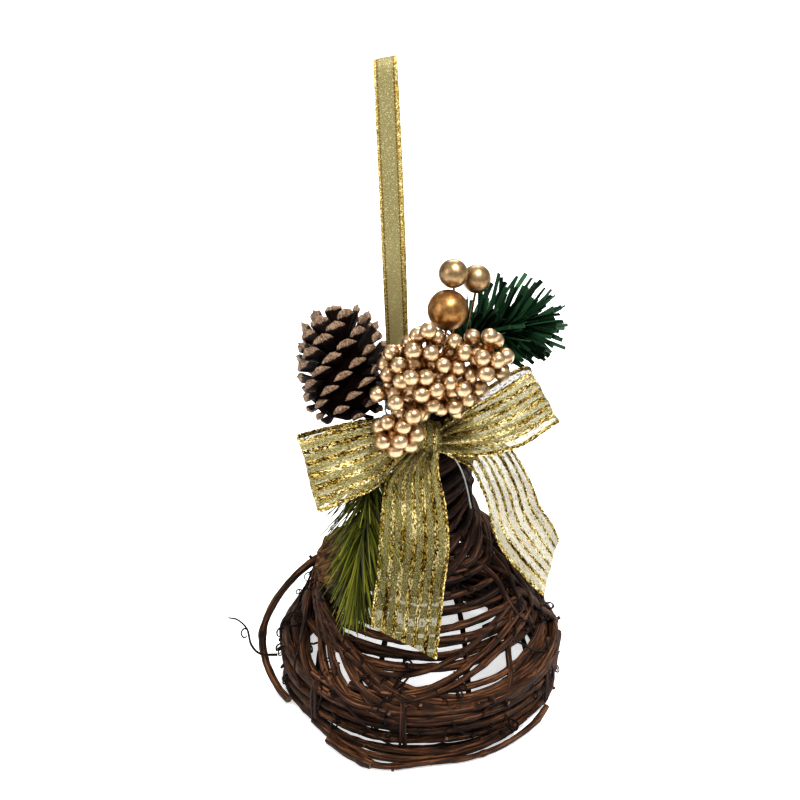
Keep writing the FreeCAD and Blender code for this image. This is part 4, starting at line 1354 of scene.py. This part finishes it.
def make_berries(materials):
    rng = random.Random(67)
    taken = [(Vector(centre), radius) for radius, centre, _, _ in BALLS.values()]

    def has_room(point, slack):
        local = CONE_TURN.inverted() @ (point - CONE_CENTRE)
        if hypot(local.x, local.y) < CONE_KEEP[0] + BERRY and abs(local.z) < CONE_KEEP[1]:
            return False
        return all((point - centre).length > radius + BERRY + slack for centre, radius in taken)

    for name, (centre, radii, count, facing, root, more) in CLUSTERS.items():
        turn = UP.rotation_difference(facing.normalized())
        places = []
        for index in range(count):
            level = 1 - 1.25 * (index + 0.5) / count
            place = centre + each_times(turn @ ellipsoid_point(level, index * GOLDEN_TURN), radii)
            if has_room(place, BERRY_ROOM):
                taken.append((place, BERRY))
                places.append(place)
        for spot in MORE_BERRIES if name == "main" else ():
            for stand_out in range(8):
                place = Vector(spot) + Vector((0, -1, 0.43)) * stand_out
                if has_room(place, BERRY_SINK):
                    taken.append((place, BERRY))
                    places.append(place)
                    break
        tries = 0
        added = 0
        while added < more and tries < 9000:
            tries += 1
            way = Vector((rng.gauss(0, 1), rng.gauss(0, 1), rng.gauss(0, 1))).normalized()
            if way.dot(facing) < -0.3:
                continue
            share = rng.uniform(0.66, 1.05)
            bridging = name == "main" and tries % 2
            middle, reach = (BRIDGE_CENTRE, BRIDGE_RADII) if bridging else (centre, radii)
            place = middle + Vector([a * b * share for a, b in zip(way, reach)])
            if has_room(place, BERRY_SINK):
                taken.append((place, BERRY))
                places.append(place)
                added += 1
        beads = Builder()
        stems = Builder()
        stems.bead(centre, 1.0, UP, 4, 6)
        for place in places:
            way = (place - centre).normalized()
            axis = (way + scatter(rng, 0.4, 0.4, 0.4)).normalized()
            beads.bead(place, BERRY * rng.uniform(0.93, 1.03), axis, 14, 22, 0.08, 0.05)
            middle = (place + centre) / 2 + scatter(rng, 1, 1, 1)
            path = smooth_values((centre, middle, place - way * BERRY * 0.8), 0.9)
            stems.tube(path, lambda along: BERRY_WIRE, 7, 0.5, 0.3, rng.uniform(0, 50))
        lumps = 26 if name == "main" else 12
        for index in range(lumps):
            level = 1 - 2 * (index + 0.5) / lumps
            way = ellipsoid_point(level, index * GOLDEN_TURN)
            stems.bead(centre + each_times(way, radii) * 0.42, rng.uniform(2.0, 3.0), way, 7, 10, 0.2, 0.1)
        way = (root - centre).normalized()
        bend = (centre + root) / 2 + Vector((0, 2.0, 0))
        stems.tube(
            smooth_values((centre + way * 2, bend, root), 0.8), lambda along: CLUSTER_STEM, 10, 0.5, 0.25,
            2.0,
        )
        beads.finish(f"berries_{name}_beads", materials["berry"], "berry_gold", f"berries_{name}")
        stems.finish(f"berry_stem_{name}_wires", materials["copper"], "copper_wire", f"berry_stem_{name}")


# ---- pinecone
# along the scale, half its width, half its thickness, tint
SCALE_RINGS = (
    (0.0, 1.2, 0.45, 0.0), (0.3, 1.9, 0.5, 0.0), (0.6, 3.1, 0.75, 0.0), (0.82, 4.1, 1.1, 0.12),
    (0.93, 4.5, 1.45, 0.42), (0.985, 4.2, 1.4, 0.95), (1.02, 3.0, 0.95, 1.0), (1.045, 1.3, 0.45, 1.0),
    (1.075, 0.4, 0.2, 1.0),
)
# share of the cone's height: distance of the tips from the axis, and rise of the scales in degrees
CONE_TIPS = (
    (0, 8.5), (0.05, 12.5), (0.12, 15.4), (0.3, 17.2), (0.6, 17.8), (0.8, 15.6), (0.92, 12.0), (1, 7.5),
)
CONE_RISE = ((0, -42), (0.2, -8), (0.5, 16), (0.8, 42), (1, 68))
CONE_BREADTH = ((0, 0.7), (0.25, 1.0), (0.8, 0.98), (1, 0.72))
SCALE_COUNT = 76
SCALE_TILT = Quaternion((0, 1, 0), 0.36)
# lowest point and height, from the cone's centre, of the tips and of the core
TIPS_LOW = -24.0
TIPS_HEIGHT = 46.5
CORE_LOW = -22.5
CORE_HEIGHT = 33.5
# the core's distance from the axis, by share of its height
CORE_REACH = (
    (0, 0.8), (0.04, 5.6), (0.1, 8.8), (0.2, 11.4), (0.34, 12.2), (0.6, 11.0), (0.85, 7.5), (1, 2.4),
)


def add_scale(builder, turn, root, length, broad, rng):
    """One woody scale: a thin blade that widens to a thick, ridged tip with a small point."""
    base = len(builder.points)
    sides = 14
    seed = rng.uniform(0, 100)
    for share, half_width, half_thick, tint in SCALE_RINGS:
        for step in range(sides):
            angle = TURN * step / sides
            c = cos(angle)
            s = sin(angle)
            x = half_width * broad * copysign(abs(c) ** 1.5, c)
            z = half_thick * copysign(abs(s) ** 1.35, s) + 0.9 * share * share - 0.05 * x * x * share
            jag = 1 + 0.2 * noise.noise(Vector((x * 0.9, z * 2, seed + share * 2)))
            reach = length * share * (1 + 0.06 * noise.noise(Vector((x * 0.8, seed, z))) * share)
            builder.point(root + turn @ Vector((x * jag, reach, z * jag)), (reach, x + seed, z), tint)
    builder.skin(base, len(SCALE_RINGS), sides)


def make_pinecone(materials):
    rng = random.Random(71)
    core = Builder()
    rows = 16
    sides = 20
    for row in range(rows + 1):
        share = row / rows
        reach = between(share, CORE_REACH)
        for step in range(sides):
            angle = TURN * step / sides
            swell = 1 + 0.12 * sin(8 * angle + 9 * share)
            local = polar(angle, reach * swell, CORE_LOW + CORE_HEIGHT * share)
            core.point(CONE_CENTRE + CONE_TURN @ local, tuple(local), 0.0)
    core.skin(0, rows + 1, sides)
    core.finish("pinecone_core_wood", materials["cone_core"], "pinecone", "pinecone_core")
    scales = Builder()
    for index in range(SCALE_COUNT):
        share = (index + 0.5) / SCALE_COUNT
        around = index * GOLDEN_TURN + 0.4
        rise = radians(between(share, CONE_RISE) + rng.uniform(-4, 4))
        tip_reach = between(share, CONE_TIPS) * rng.uniform(0.96, 1.03)
        tip_height = TIPS_LOW + TIPS_HEIGHT * share ** 0.94
        root_reach = 3.0 * (1 - 0.7 * share)
        length = (tip_reach - root_reach) / max(cos(rise), 0.5)
        root_height = tip_height - length * sin(rise)
        lifted = Quaternion(UP, around - pi / 2) @ Quaternion((1, 0, 0), rise)
        turn = CONE_TURN @ lifted @ SCALE_TILT
        root = CONE_CENTRE + CONE_TURN @ polar(around, root_reach, root_height)
        broad = between(share, CONE_BREADTH) * rng.uniform(0.93, 1.06)
        add_scale(scales, turn, root, length, broad, rng)
    scales.finish("pinecone_scales_wood", materials["cone"], "pinecone", "pinecone_scales")


# ---- sprigs
def curved(start, direction, sag, length, count=5):
    """Points that leave start in a direction and bend towards sag."""
    return [
        start + direction * (length * t) + sag * (length * t * t)
        for t in (index / count for index in range(count + 1))
    ]


def along_stem(stem, first, count, rng, stray):
    """For each needle: how far along it is, its root, the stem's direction and a way out from it."""
    for index in range(count):
        share = index / count
        at = first + int(share * (len(stem) - 1 - first))
        forward = heading(stem, at)
        spin = index * GOLDEN_TURN + rng.uniform(-stray, stray)
        yield share, stem[at], forward, Quaternion(forward, spin) @ forward.orthogonal().normalized()


UPPER_STEM = (
    (15.2, 4.2, 146.3), (15.8, 3.6, 156.0), (18.5, 2.9, 161.0), (32, 1.3, 165.4), (45.0, -0.2, 168.6),
)
LOWER_STEM = ((-16.4, -12.2, 124), (-20.6, -20, 110), (-24.5, -31.5, 86), (-27.4, -37.0, 62))
# the rounded outline that the upper strips are trimmed to: middle, axis, reach along it and across it
BRUSH_MIDDLE = Vector((34.0, 0.3, 169.5))
BRUSH_AXIS = Vector((0.99, -0.08, 0.08)).normalized()
BRUSH_DEEP = 22.0
BRUSH_WIDE = 18.8
STRIP_COUNT = 250
STRIP_LEAN = ((0, 74), (0.6, 60), (1.0, 26))
NEEDLE_COUNT = 460
NEEDLE_LEAN = ((0, 52), (0.5, 30), (1.0, 14))
NEEDLE_LENGTH = ((0, 25), (0.6, 26), (1.0, 15))
SPRAY_COUNT = 12


def make_stem(materials, rows, node):
    stem = smooth_values(rows, 1.0)
    builder = Builder()
    add_twisted(builder, stem, 0.6)
    builder.finish(node + "_wire", materials["stem"], "tie_wire", node)
    return stem


def make_upper_sprig(materials, rng):
    stem = make_stem(materials, UPPER_STEM, "sprig_upper_stem")
    builder = Builder()
    for share, place, forward, around in along_stem(stem, 9, STRIP_COUNT, rng, 0.3):
        lean = radians(between(share, STRIP_LEAN) + rng.uniform(-16, 14))
        direction = (forward * cos(lean) + around * sin(lean)).normalized()
        length = 5.0
        while length < 24:
            offset = place + direction * length - BRUSH_MIDDLE
            deep = offset.dot(BRUSH_AXIS)
            wide = (offset - BRUSH_AXIS * deep).length
            if (deep / BRUSH_DEEP) ** 2 + (wide / BRUSH_WIDE) ** 2 > 1:
                break
            length += 0.5
        length = max(length, 13.0 if share < 0.25 else 8.0) * rng.uniform(0.84, 1.06)
        sag = Vector((rng.uniform(-0.12, 0.12), rng.uniform(-0.12, 0.12), rng.uniform(-0.16, 0.1)))
        path = curved(place, direction, sag + forward * rng.uniform(0, 0.15), length)
        flat = Quaternion(direction, rng.uniform(0.5, 2.6)) @ forward.cross(direction)
        width = rng.uniform(1.5, 2.2)
        builder.blade(
            path, width, 0.25, flat, rng.uniform(0, 1), 0.06, rng.uniform(-0.9, 0.9), rng.uniform(0, 50),
        )
    builder.finish(
        "sprig_upper_strips", materials["strips"], "needle_dark", "sprig_upper_needles", smooth=False,
    )


def make_lower_sprig(materials, rng):
    stem = make_stem(materials, LOWER_STEM, "sprig_lower_stem")
    builder = Builder()
    for share, place, forward, around in along_stem(stem, 6, NEEDLE_COUNT, rng, 0.5):
        around.y *= 0.4
        lean = radians(between(share, NEEDLE_LEAN) + rng.uniform(-10, 9))
        direction = (forward * cos(lean) + around.normalized() * sin(lean)).normalized()
        length = between(share, NEEDLE_LENGTH) * rng.uniform(0.8, 1.05)
        sag = Vector((rng.uniform(-0.06, 0.06), rng.uniform(-0.05, 0.05), -0.16))
        path = curved(place, direction, sag, length, 6)
        width = rng.uniform(0.5, 0.8)
        flat = forward.cross(direction)
        builder.blade(
            path, width, 0.4, flat, rng.uniform(0, 1), 0.55, rng.uniform(-0.5, 0.5), rng.uniform(0, 50),
        )
    for place in stem[4:4 + SPRAY_COUNT]:
        direction = Vector((-0.8 + rng.uniform(-0.2, 0.15), -0.3, -0.3 + rng.uniform(-0.3, 0.3))).normalized()
        path = curved(place, direction, Vector((0.05, 0, -0.45)), rng.uniform(13, 19), 7)
        builder.blade(path, 1.1, 0.3, UP, 0.02, 0.3, 0.4, rng.uniform(0, 50))
    builder.finish(
        "sprig_lower_fine_needles", materials["needles"], "needle_olive", "sprig_lower_needles", smooth=False,
    )


def make_sprigs(materials):
    rng = random.Random(83)
    make_upper_sprig(materials, rng)
    make_lower_sprig(materials, rng)


# the pod's outline from its back round its rim to the middle of its face: radius, height
POD_PROFILE = (
    (0, -4.6), (4, -4.9), (8, -4.6), (11.6, -3.6), (13.6, -1.6), (14.0, 0.0), (13.4, 0.7), (12.6, 0.2),
    (11.8, -0.4), (10.6, -0.2), (9.2, -0.15), (7.6, -0.1), (6.0, 0.0), (4.4, 0.1), (2.6, 0.2), (1.0, 0.25),
    (0.0, 0.25),
)
POD_CENTRE = Vector((-33.6, -19.8, 71.4))
POD_FACING = Vector((-0.6, -0.48, 0.64))
POD_SEEDS = [(0.0, 0.0), (3.9, 2.2), (-3.9, 1.6), (0.4, -4.3)]
POD_HOLE = 1.75


def make_pod(materials):
    builder = Builder()
    turn = UP.rotation_difference(POD_FACING.normalized())
    sides = 84
    seeds = [(8.2 * cos(TURN * k / 7), 8.2 * sin(TURN * k / 7)) for k in range(7)]
    seeds += POD_SEEDS
    for radius, height in POD_PROFILE:
        for step in range(sides):
            angle = TURN * step / sides
            wrinkle = 1 + 0.035 * sin(13 * angle) * (radius / 14)
            wrinkle += 0.03 * noise.noise(Vector((cos(angle) * 3, sin(angle) * 3, height)))
            x = radius * wrinkle * cos(angle)
            y = radius * wrinkle * sin(angle)
            z = height + 0.5 * noise.noise(Vector((x * 0.2, y * 0.2, 4)))
            tint = 0.7
            if height > -0.5 and radius < 11.8:
                for u, v in seeds:
                    near = hypot(x - u, y - v)
                    if near < POD_HOLE:
                        z -= 1.8 * (1 - ease(near / POD_HOLE))
                        tint = 0.0
            builder.point(POD_CENTRE + turn @ Vector((x, y, z)), (x, y, z), tint)
    builder.skin(0, len(POD_PROFILE), sides, caps=False)
    builder.finish("dried_pod_husk", materials["pod"], "pod", "dried_pod")


add_camera()
add_studio()
materials = make_materials()
for make in (
    make_bell, make_neck, make_frame, make_loose_vines, make_tendrils, make_bow, make_hanger,
    make_wires, make_balls, make_berries, make_pinecone, make_sprigs, make_pod,
):
    make(materials)
